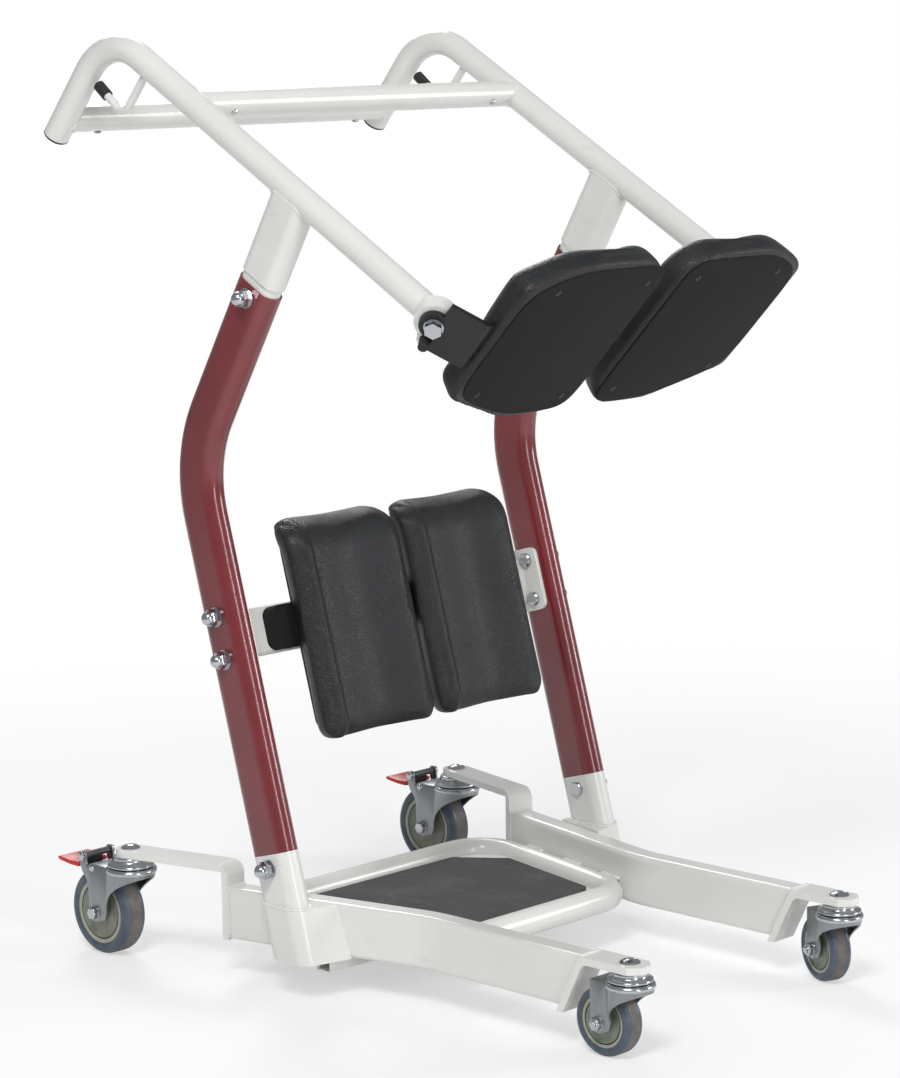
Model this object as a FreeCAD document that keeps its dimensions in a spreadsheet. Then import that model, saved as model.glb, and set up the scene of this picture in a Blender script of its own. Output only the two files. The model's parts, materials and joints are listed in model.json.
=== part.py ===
import FreeCAD, Part
import math
import os
import re
import Sketcher
from FreeCAD import Vector

# A standing transfer aid on four casters: a low base with a footplate, two oval
# masts, a pair of handle tubes with cross bars, knee pads and two swing-away seat
# halves. X is across, +Y is the carer's side, +Z is up, origin on the floor.
# The right side is drawn; the left side is its mirror image.

doc = FreeCAD.newDocument("standing_transfer_aid")

# Driving sizes, in millimetres and degrees

SIZES = {
    # base legs: bent rectangular tube
    "leg_height": 60,
    "leg_width": 30,
    "leg_wall": 2.5,
    "leg_corner": 5,
    "leg_bottom": 44,
    "leg_x": 176,
    "leg_splay": 13.4,
    "leg_bend_y": -104,
    "leg_bend_radius": 150,
    "leg_rear_length": 259,
    "leg_slant_y": -304,
    "leg_slant": 26.6,
    # bent plates that carry the casters
    "arm_thickness": 8,
    "arm_drop": 5,
    "front_arm_width": 36,
    "front_arm_nose": 22,
    "front_arm_clip": 11,
    "front_arm_bend": 9,
    "front_caster_y": -389,
    "rear_arm_width": 34,
    "rear_arm_rise": 26,
    "rear_arm_reach": 146,
    "rear_arm_bend": 14,
    "rib_thickness": 5,
    "rib_size": 16,
    # masts: flat oval tube with a knee
    "mast_x": 254,
    "mast_depth": 58,
    "mast_width": 30,
    "mast_wall": 2,
    "mast_foot_y": 27.7,
    "mast_lean": 15.6,
    "mast_knee": 46.1,
    "mast_knee_height": 565,
    "mast_knee_radius": 150,
    "mast_upper_length": 230,
    "neck_step": 10,
    "swage_taper": 9,
    "slip_fit": 0.15,
    # mast sockets
    "socket_height": 120,
    "socket_wall": 2.6,
    "socket_seat": 14,
    "shoe_grow": 4,
    "gusset_front": 41,
    "gusset_rear": 34,
    "gusset_depth": 45,
    "cut_over": 20,
    # handle tubes
    "tube_diameter": 30,
    "tube_wall": 2,
    "pivot_y": -199.5,
    "pivot_z": 766.6,
    "tube_slope": 30.2,
    "tube_corner": 583,
    "tube_bend": 80.5,
    "tube_bend_radius": 70,
    "grip_length": 152,
    "neck_insert": 40,
    "cap_thickness": 3,
    "cap_plug": 10,
    "cope_short": 4,
    "edge_bevel": 1.2,
    # cross bars with their stubs
    "front_bar_run": 421,
    "rear_bar_run": 129,
    "stub_inner_x": 170,
    "bar_insert": 55,
    "bar_screw_x": 206,
    "screw_head": 8,
    "screw_head_height": 2.5,
    "screw_shank": 4,
    "screw_length": 5,
    "screw_fit": 0.15,
    "front_screw_turn": 127,
    # hooks
    "hook_rod": 9,
    "hook_setback": 79.5,
    "hook_lean": 79.6,
    "hook_run": 71.4,
    "hook_turn": 87.6,
    "hook_rise": 51,
    "hook_bend_radius": 16,
    "hook_cap_diameter": 13,
    "hook_cap_end": 4,
    "hook_cap_cover": 16,
    # knee bar and knee pads
    "knee_height": 364.4,
    "knee_bar_height": 55,
    "knee_bar_depth": 25,
    "knee_bar_wall": 2,
    "knee_bar_back": 34,
    "knee_block_depth": 17,
    "knee_block_height": 50,
    "knee_block_half": 195,
    "knee_plate_thickness": 5,
    "knee_plate_height": 76,
    "knee_plate_front": 15,
    "knee_plate_rear": 34,
    "knee_plate_corner": 9,
    "knee_bolt_rise": 24,
    "knee_pad_width": 178,
    "knee_pad_gap": 4,
    "knee_pad_top": 127,
    "knee_pad_bottom": 138,
    "knee_pad_depth": 38,
    "knee_pad_lip": 24,
    "knee_pad_slope": 30,
    "knee_pad_back_round": 6,
    "knee_pad_lip_round": 11,
    "knee_pad_valley": 22,
    "knee_pad_hollow": 16,
    "knee_board_thickness": 6,
    "knee_board_inset": 16,
    "knee_board_round": 12,
    "knee_bar_corner": 4,
    # through bolts
    "bolt_diameter": 10,
    "bolt_head": 17,
    "nut_width": 17,
    "nut_height": 10,
    "nut_dome": 8,
    "button_height": 5,
    "washer_diameter": 22,
    "washer_thickness": 2,
    "socket_bolt_height": 104.6,
    "neck_bolt_depth": 15,
    # footplate
    "ring_diameter": 30,
    "ring_wall": 2,
    "ring_front_y": -94,
    "ring_rear_y": 187,
    "ring_bend_radius": 48,
    "panel_thickness": 3,
    "panel_below_axis": 3,
    "tread_thickness": 2.5,
    "tread_margin": 5,
    "tread_clip": 56,
    "tread_front_clip": 27,
    "cross_tube_y": 11,
    "cross_tube_width": 21,
    "cross_tube_height": 15,
    "cross_tube_wall": 1.5,
    "cross_tube_reach": 232,
    # seat halves and their hinges
    "seat_tilt": 45.8,
    "hinge_cant": 45,
    "seat_drop": 54,
    "seat_board": 8,
    "seat_foam": 27,
    "seat_inner_x": 12,
    "seat_outer_x": 225,
    "seat_up": 122,
    "seat_down": 120,
    "seat_outer_up": 92,
    "seat_outer_down": 76,
    "seat_shoulder_up": 66,
    "seat_shoulder_down": 110,
    "seat_inner_round": 50,
    "seat_shoulder_round": 55,
    "seat_outer_round": 14,
    "seat_edge_round": 17,
    "seat_screw_head": 9,
    "seat_screw_inset_x": 27,
    "seat_screw_pitch_x": 162,
    "seat_screw_pitch_v": 169,
    "seat_screw_v": -4.5,
    "seat_screw_length": 7,
    "seat_screw_height": 2.5,
    "hinge_plate": 6,
    "hinge_eye": 16,
    "hinge_stop_edge": 7,
    "hinge_ear_up": 32,
    "hinge_ear_down": 30,
    "flange_end": 75,
    "flange_clear": 0.3,
    "fold_radius": 5,
    "seat_travel": 178,
    "stop_gap": 0.1,
    "boss_radius": 22,
    "boss_front": 12,
    "boss_back": 6,
    "lobe_radius": 8.5,
    "hinge_gap": 0.3,
    "bush_outer": 15,
    "pivot_diameter": 10,
    "pivot_head": 17,
    "pivot_head_height": 7,
    "pivot_washer": 21,
    "pivot_washer_thickness": 2,
    "bush_fit": 0.06,
    "pin_diameter": 11,
    "pin_v": 23.5,
    "pin_length": 16,
    # casters
    "rear_wheel_radius": 50,
    "rear_wheel_width": 32,
    "rear_trail": 42,
    "front_wheel_radius": 37.5,
    "front_wheel_width": 26,
    "front_trail": 29,
    "right_front_yaw": -22,
    "rear_hub_radius": 38.5,
    "front_hub_radius": 29,
    "rear_disc_radius": 32,
    "front_disc_radius": 24,
    "disc_groove": 1.5,
    "hub_recess": 2,
    "rear_tyre_round": 7,
    "front_tyre_round": 5,
    "fork_gap": 3,
    "fork_plate": 2.5,
    "fork_front": 24,
    "fork_lip": 9,
    "fork_foot": 11,
    "fork_bow_y": 13,
    "fork_bow_z": 24,
    "crown_rear": 26,
    "race_height": 7.5,
    "rear_race_radius": 30,
    "front_race_radius": 27,
    "rear_cup_radius": 27,
    "front_cup_radius": 24.5,
    "rear_cup_height": 13,
    "front_cup_height": 11,
    "cup_rim": 4,
    "cup_slope": 7,
    "race_gap": 0.5,
    "stem_diameter": 12,
    "stem_head": 20,
    "stem_head_height": 7,
    "stem_head_bevel": 3,
    "stem_flange": 20,
    "stem_flange_height": 4,
    "stem_fit": 0.06,
    "stem_gap": 0.3,
    "axle_diameter": 8,
    "axle_fit": 0.06,
    "axle_head": 13,
    "axle_head_height": 5,
    # brake of the rear casters
    "roller_y": 62,
    "roller_z": 114.5,
    "roller_diameter": 8,
    "roller_proud": 3,
    "ear_radius": 6,
    "ear_drop": 16,
    "rivet_y": 45,
    "rivet_z": 102,
    "rivet_diameter": 7,
    "rivet_proud": 2.5,
    "pedal_width": 30,
    "pedal_hub": 13,
    "pedal_fit": 0.06,
    "pedal_tip": 128,
    "pedal_start_z": 118,
    "pedal_tip_z": 106,
    "pedal_thickness": 7.5,
    "shoe_width": 24,
    "shoe_y": 74,
    "shoe_z": 98,
}

# Sizes that follow from the driving ones

DERIVED = {
    "leg_top": "leg_bottom + leg_height",
    "leg_middle": "leg_bottom + leg_height / 2",
    "leg_rear_x": "leg_x + sin(leg_splay) * leg_rear_length",
    "leg_rear_y": "leg_bend_y + cos(leg_splay) * leg_rear_length",
    "leg_start_y": "leg_slant_y - leg_height * tan(leg_slant)",
    "rear_arm_top": "leg_top + rear_arm_rise",
    "rear_caster_x": "leg_rear_x + sin(leg_splay) * rear_arm_reach",
    "rear_caster_y": "leg_rear_y + cos(leg_splay) * rear_arm_reach",
    "mast_upper_lean": "mast_knee - mast_lean",
    "knee_y": "mast_foot_y + sin(mast_lean) * mast_knee_height",
    "knee_z": "leg_bottom + cos(mast_lean) * mast_knee_height",
    "swaged_depth": "mast_depth - 2 * socket_wall - 2 * slip_fit",
    "swaged_width": "mast_width - 2 * socket_wall - 2 * slip_fit",
    "neck_swaged_depth": "mast_depth - 2 * mast_wall - 2 * slip_fit",
    "neck_swaged_width": "mast_width - 2 * mast_wall - 2 * slip_fit",
    "neck_reach": "((pivot_z - knee_z) * cos(tube_slope) - (pivot_y - knee_y) * sin(tube_slope))"
                  " / cos(mast_upper_lean - tube_slope)",
    "neck_bolt_run": "mast_upper_length - neck_bolt_depth",
    "corner_y": "pivot_y + cos(tube_slope) * tube_corner",
    "corner_z": "pivot_z + sin(tube_slope) * tube_corner",
    "grip_slope": "tube_bend - tube_slope",
    "front_bar_y": "pivot_y + cos(tube_slope) * front_bar_run",
    "front_bar_z": "pivot_z + sin(tube_slope) * front_bar_run",
    "rear_bar_y": "corner_y + cos(grip_slope) * rear_bar_run",
    "rear_bar_z": "corner_z - sin(grip_slope) * rear_bar_run",
    "bar_swaged": "tube_diameter - 2 * tube_wall - 2 * slip_fit",
    "knee_bar_half": "mast_x - mast_width / 2 - knee_plate_thickness",
    "knee_y0": "mast_foot_y + sin(mast_lean) * knee_height",
    "knee_z0": "leg_bottom + cos(mast_lean) * knee_height",
    "ring_offset": "(leg_width / 2 + ring_diameter / 2) / cos(leg_splay)",
    "ring_axis_z": "leg_bottom + ring_diameter / 2",
    "ring_front_x": "leg_x + tan(leg_splay) * (ring_front_y - leg_bend_y) - ring_offset",
    "ring_rear_x": "leg_x + tan(leg_splay) * (ring_rear_y - leg_bend_y) - ring_offset",
    "panel_top": "ring_axis_z - panel_below_axis + panel_thickness",
    "seat_board_top": "seat_board - seat_drop",
    "seat_inner": "seat_inner_x - mast_x",
    "seat_outer": "seat_outer_x - mast_x",
    "pin_m": "hinge_stop_edge - pin_diameter / 2 - stop_gap",
    "hinge_open_edge": "pin_m * cos(seat_travel) - pin_v * sin(seat_travel) + pin_diameter / 2"
                       " + stop_gap",
    "flange_top": "seat_board_top + hinge_plate",
    "hinge_fold_x": "seat_board_top * tan(hinge_cant) + plate_front / cos(hinge_cant)",
    "hinge_fold_inner_x": "flange_top * tan(hinge_cant) + plate_back / cos(hinge_cant)",
    "plate_back": "boss_front + hinge_gap",
    "plate_front": "boss_front + hinge_gap + hinge_plate",
    "hook_tip_y": "0 - sin(hook_turn) * hook_rise",
    "hook_tip_z": "hook_run + cos(hook_turn) * hook_rise",
    "grip_end_y": "sin(tube_bend) * grip_length",
    "grip_end_z": "tube_corner + cos(tube_bend) * grip_length",
    "mast_end_y": "0 - sin(mast_knee) * mast_upper_length",
    "mast_end_z": "mast_knee_height + cos(mast_knee) * mast_upper_length",
    "neck_bolt_y": "0 - sin(mast_knee) * neck_bolt_run",
    "neck_bolt_z": "mast_knee_height + cos(mast_knee) * neck_bolt_run",
    "rear_fork_top": "rear_arm_top - arm_thickness - rear_cup_height - race_gap",
    "front_fork_top": "leg_top - arm_thickness - front_cup_height - race_gap",
}

sizes = doc.addObject("Spreadsheet::Sheet", "Sizes")
for row, (alias, value) in enumerate(SIZES.items(), 1):
    sizes.set(f"A{row}", alias)
    sizes.set(f"B{row}", str(value))
    sizes.setAlias(f"B{row}", alias)
for row, (alias, formula) in enumerate(DERIVED.items(), len(SIZES) + 1):
    sizes.set(f"A{row}", alias)
    sizes.set(f"B{row}", "=" + formula)
    sizes.setAlias(f"B{row}", alias)
doc.recompute()

WORDS = re.compile(r"\b(" + "|".join([*SIZES, *DERIVED]) + r")\b")


# Small tools for sketches, features and places


def cell(formula):
    """The formula with every size name pointing into the sheet."""
    return WORDS.sub(r"Sizes.\1", str(formula))


def value(formula):
    """The present number of a formula."""
    return float(sizes.evalExpression(str(formula)))


def bind(thing, **formulas):
    for name, formula in formulas.items():
        thing.setExpression(name, cell(formula))


def at(x="0", y="0", z="0", turns=()):
    """A frame at x, y, z with turns about named axes, the outermost first."""
    axes = {"x": "1; 0; 0", "y": "0; 1; 0", "z": "0; 0; 1"}
    turned = [f"rotation(vector({axes[axis]}); {angle})" for axis, angle in turns]
    turned = " * ".join(turned) or "rotation(vector(0; 0; 1); 0)"
    return f"placement(vector({x}; {y}; {z}); {turned})"


def place(thing, *frames):
    """Put a thing in a frame, or in a frame of a frame."""
    thing.setExpression("Placement", cell(" * ".join(frames)))
    return thing


def body(label):
    made = doc.addObject("PartDesign::Body", label)
    made.Label = label
    return made


def sketch(owner, role, offset="0"):
    """A sketch on one of the body's own origin planes, moved along its normal."""
    plane = next(f for f in owner.Origin.OriginFeatures if f.Role == role)
    made = owner.newObject("Sketcher::SketchObject", owner.Name + "_sketch")
    made.AttachmentSupport = [(plane, "")]
    made.MapMode = "FlatFace"
    made.setExpression("AttachmentOffset.Base.z", cell(offset))
    return made


def constrain(drawing, kind, *where, formula=None):
    if formula is None:
        return drawing.addConstraint(Sketcher.Constraint(kind, *where))
    index = drawing.addConstraint(Sketcher.Constraint(kind, *where, value(formula)))
    drawing.setExpression(f"Constraints[{index}]", cell(formula))
    return index


def pin_point(drawing, line, end, x, y):
    constrain(drawing, "DistanceX", -1, 1, line, end, formula=x)
    constrain(drawing, "DistanceY", -1, 1, line, end, formula=y)


def polygon(drawing, points):
    """A closed outline through the points."""
    at = [Vector(value(x), value(y)) for x, y in points]
    first = drawing.GeometryCount
    count = len(points)
    for number in range(count):
        drawing.addGeometry(Part.LineSegment(at[number], at[(number + 1) % count]))
    for number in range(count):
        following = first + (number + 1) % count
        constrain(drawing, "Coincident", first + number, 2, following, 1)
        pin_point(drawing, first + number, 1, *points[number])


def circle(drawing, radius, x="0", y="0"):
    round_line = Part.Circle(Vector(value(x), value(y)), Vector(0, 0, 1), value(radius))
    number = drawing.addGeometry(round_line)
    pin_point(drawing, number, 3, x, y)
    constrain(drawing, "Radius", number, formula=radius)


def oval(drawing, depth, width, x="0", y="0"):
    """A flat oval with its long way along the sketch's second axis."""
    half = value(width) / 2
    rise = value(depth) / 2 - half
    centre = Vector(value(x), value(y))
    ends = []
    for sign, start in ((1, 0), (-1, math.pi)):
        middle = centre + Vector(0, sign * rise)
        round_end = Part.ArcOfCircle(Part.Circle(middle, Vector(0, 0, 1), half),
                                     start, start + math.pi)
        ends.append(drawing.addGeometry(round_end))
        shift = f"({y}) + {sign} * (({depth}) - ({width})) / 2"
        pin_point(drawing, ends[-1], 3, x, shift)
    upper, lower = ends
    across, along = Vector(half, 0), Vector(0, rise)
    left = drawing.addGeometry(Part.LineSegment(centre + along - across,
                                                centre - along - across))
    right = drawing.addGeometry(Part.LineSegment(centre - along + across,
                                                 centre + along + across))
    constrain(drawing, "Tangent", upper, 2, left, 1)
    constrain(drawing, "Tangent", left, 2, lower, 1)
    constrain(drawing, "Tangent", lower, 2, right, 1)
    constrain(drawing, "Tangent", right, 2, upper, 1)
    constrain(drawing, "Equal", upper, lower)
    constrain(drawing, "Radius", upper, formula=f"({width}) / 2")


def route(drawing, points, radii, closed=False):
    """Straight runs through the points, joined by tangent arcs at the turns."""
    at = [Vector(value(x), value(y)) for x, y in points]
    count = len(points)
    turns = list(range(count)) if closed else list(range(1, count - 1))
    leave, arrive, arcs, marks = {}, {}, {}, {}
    for turn, radius in zip(turns, radii):
        back = (at[turn - 1] - at[turn]).normalize()
        ahead = (at[(turn + 1) % count] - at[turn]).normalize()
        half = back.getAngle(ahead) / 2
        arrive[turn] = at[turn] + back * (value(radius) / math.tan(half))
        leave[turn] = at[turn] + ahead * (value(radius) / math.tan(half))
        centre = at[turn] + (back + ahead).normalize() * (value(radius) / math.sin(half))
        middle = centre + (at[turn] - centre).normalize() * value(radius)
        arc = Part.Arc(arrive[turn], middle, leave[turn])
        arcs[turn] = drawing.addGeometry(arc)
        clockwise = back.cross(ahead).z > 0
        marks[turn] = (2, 1) if clockwise else (1, 2)
        constrain(drawing, "Radius", arcs[turn], formula=radius)
    runs = range(count) if closed else range(count - 1)
    lines = {}
    for run in runs:
        goal = (run + 1) % count
        line = Part.LineSegment(leave.get(run, at[run]), arrive.get(goal, at[goal]))
        lines[run] = drawing.addGeometry(line)
    for turn in turns:
        before, after = lines[(turn - 1) % count], lines[turn]
        into, out = marks[turn]
        constrain(drawing, "Tangent", before, 2, arcs[turn], into)
        constrain(drawing, "Tangent", arcs[turn], out, after, 1)
        corner = drawing.addGeometry(Part.Point(at[turn]), True)
        pin_point(drawing, corner, 1, *points[turn])
        constrain(drawing, "PointOnObject", corner, 1, before)
        constrain(drawing, "PointOnObject", corner, 1, after)
    if not closed:
        pin_point(drawing, lines[0], 1, *points[0])
        pin_point(drawing, lines[count - 2], 2, *points[-1])


def feature(owner, kind, name, **formulas):
    made = owner.newObject("PartDesign::" + kind, f"{owner.Name}_{name}")
    bind(made, **formulas)
    return made


def pad(owner, drawing, length, midplane=False, reverse=False):
    made = feature(owner, "Pad", "pad", Length=length)
    made.Profile = drawing
    made.Midplane = midplane
    made.Reversed = reverse
    return made


def pocket(owner, drawing, depth=None, midplane=False, reverse=False):
    """Cut the outline away, right through unless a depth is given."""
    made = feature(owner, "Pocket", "pocket")
    made.Profile = drawing
    made.Midplane = midplane
    made.Reversed = reverse
    if depth is None:
        made.Type = "ThroughAll"
    else:
        bind(made, Length=depth)
    return made


def pipe(owner, outline, path):
    made = owner.newObject("PartDesign::AdditivePipe", owner.Name + "_pipe")
    made.Profile = outline
    made.Spine = path
    return made


def revolve(owner, drawing, role):
    made = owner.newObject("PartDesign::Revolution", owner.Name + "_revolution")
    made.Profile = drawing
    made.ReferenceAxis = (next(f for f in owner.Origin.OriginFeatures if f.Role == role), [""])
    return made


def round_edges(owner, radius, wanted, kind="Fillet"):
    """Round (or clip) those edges of the body so far that the test picks."""
    doc.recompute()
    base = owner.Tip
    names = [f"Edge{number}" for number, edge in enumerate(base.Shape.Edges, 1)
             if wanted(edge)]
    size_name = "Radius" if kind == "Fillet" else "Size"
    made = feature(owner, kind, kind.lower(), **{size_name: radius})
    made.Base = (base, names)
    owner.Tip = made
    return made


def corner_edges(direction, *corners):
    """A test for straight edges along the direction through the given corners."""
    across = [axis for axis in (Vector(1, 0, 0), Vector(0, 1, 0), Vector(0, 0, 1))
              if abs(axis.dot(direction)) < 0.5]

    def wanted(edge):
        if edge.Curve.TypeId != "Part::GeomLine" or edge.Length < 1:
            return False
        along = edge.tangentAt(edge.FirstParameter)
        if abs(abs(along.dot(direction)) - 1) > 1e-6:
            return False
        at = edge.Vertexes[0].Point
        here = [at.dot(axis) for axis in across]
        return any(all(abs(a - value(b)) < 0.05 for a, b in zip(here, corner))
                   for corner in corners)
    return wanted


def bore(owner, role, radius, x, y):
    drawing = sketch(owner, role)
    circle(drawing, radius, x, y)
    pocket(owner, drawing, midplane=True)


def tube(label, radius, wall, length, offset="0"):
    """A straight round tube along the body's own Z."""
    made = body(label)
    drawing = sketch(made, "XY_Plane", offset)
    circle(drawing, radius)
    circle(drawing, f"({radius}) - ({wall})")
    pad(made, drawing, length)
    return made


def turned(label, points):
    """A turned piece: half outline in X and Z, spun about its own Z."""
    made = body(label)
    drawing = sketch(made, "XZ_Plane")
    polygon(drawing, points)
    revolve(made, drawing, "Z_Axis")
    return made


def rod(label, radius, length):
    """A plain round bar along its own Z."""
    made = doc.addObject("Part::Cylinder", label)
    bind(made, Radius=radius, Height=length)
    return made


def block(label, length, width, height):
    made = doc.addObject("Part::Box", label)
    bind(made, Length=length, Width=width, Height=height)
    return made


def cut(label, base, tool):
    made = doc.addObject("Part::Cut", label)
    made.Label = label
    made.Base, made.Tool = base, tool
    return made


def join(label, *pieces):
    made = doc.addObject("Part::MultiFuse", label)
    made.Label = label
    made.Shapes = list(pieces)
    made.Refine = True
    return made


def group(label, *pieces):
    """Separate solids that share one node."""
    made = doc.addObject("Part::Compound", label)
    made.Label = label
    made.Links = list(pieces)
    return made


def mirror(label, source):
    made = doc.addObject("Part::Mirroring", label)
    made.Label = label
    made.Source = source
    made.Normal = (1, 0, 0)
    return made


NODES = []


def node(thing):
    """Keep a sub-part under its label, as one file."""
    NODES.append(thing)
    return thing


def both_sides(name, right):
    """The right piece as drawn and its mirror image on the left."""
    right.Label = "right_" + name
    node(right)
    node(mirror("left_" + name, right))


def pairs(name, *rights):
    """One node with the right pieces and their mirror images."""
    lefts = [mirror(f"{name}_left_{number}", right) for number, right in enumerate(rights)]
    node(group(name, *rights, *lefts))


# Where things sit: one frame for the pieces of each branch

MAST_FOOT = at("mast_x", "mast_foot_y", "leg_bottom", [("x", "-mast_lean")])
MAST_HEAD = at("mast_x", "knee_y", "knee_z", [("x", "mast_upper_lean")])
KNEE = at("0", "knee_y0", "knee_z0", [("x", "-mast_lean")])
HANDLE = at("mast_x", "pivot_y", "pivot_z", [("x", "tube_slope - 90")])
HOOK = at("0", "0", "tube_corner - hook_setback", [("x", "-hook_lean")])
GRIP = at("0", "0", "tube_corner", [("x", "-tube_bend")])
SEAT = at("mast_x", "pivot_y", "pivot_z", [("x", "-seat_tilt")])
HINGE = at(turns=[("y", "90 + hinge_cant")])


def screw(label, radius, length, head, height, bevel="edge_bevel"):
    """A turned screw, its head on top of the own XY plane."""
    return turned(label, [("0", f"-({length})"), (radius, f"-({length})"), (radius, "0"),
                          (head, "0"), (head, f"({height}) - ({bevel})"),
                          (f"({head}) - ({bevel})", height), ("0", height)])


def hexagon(label, across, height):
    made = doc.addObject("Part::Prism", label)
    made.Polygon = 6
    bind(made, Circumradius=f"({across}) / 2 / cos(30)", Height=height)
    return made


# Base legs: a straight front run and a splayed rear run, front end cut on a slant

leg = body("leg")
section = sketch(leg, "XZ_Plane", "-leg_start_y")
for inset in ("0", "leg_wall"):
    low, high = f"leg_bottom + {inset}", f"leg_top - {inset}"
    near, far = f"leg_x - leg_width / 2 + {inset}", f"leg_x + leg_width / 2 - {inset}"
    route(section, [(near, low), (far, low), (far, high), (near, high)],
          [f"leg_corner - {inset} + edge_bevel"] * 4, closed=True)
spine = sketch(leg, "XY_Plane", "leg_middle")
route(spine, [("leg_x", "leg_start_y"), ("leg_x", "leg_bend_y"), ("leg_rear_x", "leg_rear_y")],
      ["leg_bend_radius"])
pipe(leg, section, spine)
slant = sketch(leg, "YZ_Plane")
polygon(slant, [("leg_slant_y + cut_over * tan(leg_slant)", "leg_bottom - cut_over"),
                ("leg_start_y - cut_over * tan(leg_slant)", "leg_top + cut_over"),
                ("leg_start_y - 2 * cut_over", "leg_top + cut_over"),
                ("leg_start_y - 2 * cut_over", "leg_bottom - cut_over")])
pocket(leg, slant, midplane=True)
both_sides("leg", leg)

# Front arms: flat bar welded to the slanted cut and bent level with the leg top

thick_run = "arm_thickness / cos(leg_slant)"
front_arm = body("front_arm")
section = sketch(front_arm, "YZ_Plane", "leg_x")
arm_nose = "front_caster_y - front_arm_nose"
arm_inner = ("leg_slant_y - (leg_height - arm_thickness) * tan(leg_slant) - " + thick_run,
             "leg_top - arm_thickness")
polygon(section, [("leg_slant_y + arm_drop * tan(leg_slant)", "leg_bottom - arm_drop"),
                  ("leg_start_y", "leg_top"), (arm_nose, "leg_top"),
                  (arm_nose, "leg_top - arm_thickness"), arm_inner,
                  ("leg_slant_y + arm_drop * tan(leg_slant) - " + thick_run,
                   "leg_bottom - arm_drop")])
pad(front_arm, section, "front_arm_width", midplane=True)
bore(front_arm, "XY_Plane", "stem_diameter / 2", "leg_x", "front_caster_y")
round_edges(front_arm, "front_arm_bend", corner_edges(Vector(1, 0, 0), arm_inner))
round_edges(front_arm, "front_arm_clip", corner_edges(
    Vector(0, 0, 1), ("leg_x - front_arm_width / 2", arm_nose),
    ("leg_x + front_arm_width / 2", arm_nose)), "Chamfer")
both_sides("front_arm", front_arm)

# Rear arms: flat bar rising from the leg's end, bent level, with a rounded tip and a rib

rear_arm = body("rear_arm")
section = sketch(rear_arm, "YZ_Plane")
arm_under = "rear_arm_top - arm_thickness"
polygon(section, [("0", "leg_bottom"), ("0", "rear_arm_top"),
                  ("rear_arm_reach", "rear_arm_top"), ("rear_arm_reach", arm_under),
                  ("arm_thickness", arm_under), ("arm_thickness", "leg_bottom")])
pad(rear_arm, section, "rear_arm_width", midplane=True)
round_edges(rear_arm, "rear_arm_bend", corner_edges(Vector(1, 0, 0), ("0", "rear_arm_top")))
tip = sketch(rear_arm, "XY_Plane", arm_under)
circle(tip, "rear_arm_width / 2", "0", "rear_arm_reach")
pad(rear_arm, tip, "arm_thickness")
rib = sketch(rear_arm, "YZ_Plane")
polygon(rib, [("arm_thickness", arm_under), ("arm_thickness + rib_size", arm_under),
              ("arm_thickness", arm_under + " - rib_size")])
pad(rear_arm, rib, "rib_thickness", midplane=True)
bore(rear_arm, "XY_Plane", "stem_diameter / 2", "0", "rear_arm_reach")
place(rear_arm, at("leg_rear_x", "leg_rear_y", turns=[("z", "-leg_splay")]))
both_sides("rear_arm", rear_arm)

# Footplate: a round tube loop between the legs, a sheet inside it and a rubber tread

half_ring = body("half_ring")
section = sketch(half_ring, "YZ_Plane")
circle(section, "ring_diameter / 2", "ring_front_y", "ring_axis_z")
circle(section, "ring_diameter / 2 - ring_wall", "ring_front_y", "ring_axis_z")
spine = sketch(half_ring, "XY_Plane", "ring_axis_z")
route(spine, [("0", "ring_front_y"), ("ring_front_x", "ring_front_y"),
              ("ring_rear_x", "ring_rear_y"), ("0", "ring_rear_y")], ["ring_bend_radius"] * 2)
pipe(half_ring, section, spine)
node(join("footplate_ring", half_ring, mirror("half_ring_left", half_ring)))


def ring_side(y, inset):
    """How far out the inside of the ring lies at y, less an inset."""
    return (f"leg_x - ring_offset + tan(leg_splay) * (({y}) - leg_bend_y)"
            f" - (({inset}) + ring_diameter / 2) / cos(leg_splay)")


sheet_front, sheet_rear = "ring_front_y + ring_diameter / 2", "ring_rear_y - ring_diameter / 2"
sheet = body("footplate_plate")
outline = sketch(sheet, "XY_Plane", "panel_top - panel_thickness")
front_x, rear_x = ring_side(sheet_front, "0"), ring_side(sheet_rear, "0")
route(outline, [(front_x, sheet_front), (rear_x, sheet_rear), (f"-({rear_x})", sheet_rear),
                (f"-({front_x})", sheet_front)],
      ["ring_bend_radius - ring_diameter / 2"] * 4, closed=True)
pad(sheet, outline, "panel_thickness")
node(sheet)

tread = body("footplate_tread")
outline = sketch(tread, "XY_Plane", "panel_top")
tread_front, tread_rear = sheet_front + " + tread_margin", sheet_rear + " - tread_margin"
right_edge = [(ring_side(tread_front, "tread_margin") + " - tread_front_clip", tread_front),
              (ring_side(tread_front + " + tread_front_clip", "tread_margin"),
               tread_front + " + tread_front_clip"),
              (ring_side(tread_rear + " - tread_clip", "tread_margin"),
               tread_rear + " - tread_clip"),
              (ring_side(tread_rear, "tread_margin") + " - tread_clip", tread_rear)]
polygon(outline, right_edge + [(f"-({x})", y) for x, y in reversed(right_edge)])
pad(tread, outline, "tread_thickness")
node(tread)

cross = body("base_cross_tube")
section = sketch(cross, "YZ_Plane")
for inset in ("0", "cross_tube_wall"):
    low, high = f"leg_bottom - cross_tube_height + {inset}", f"leg_bottom - {inset}"
    near = f"cross_tube_y - cross_tube_width / 2 + {inset}"
    far = f"cross_tube_y + cross_tube_width / 2 - {inset}"
    polygon(section, [(near, low), (far, low), (far, high), (near, high)])
pad(cross, section, "2 * cross_tube_reach", midplane=True)
node(cross)

# Mast sockets: an oval sleeve, a lower shoe and a gusset out to the leg's face

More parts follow.
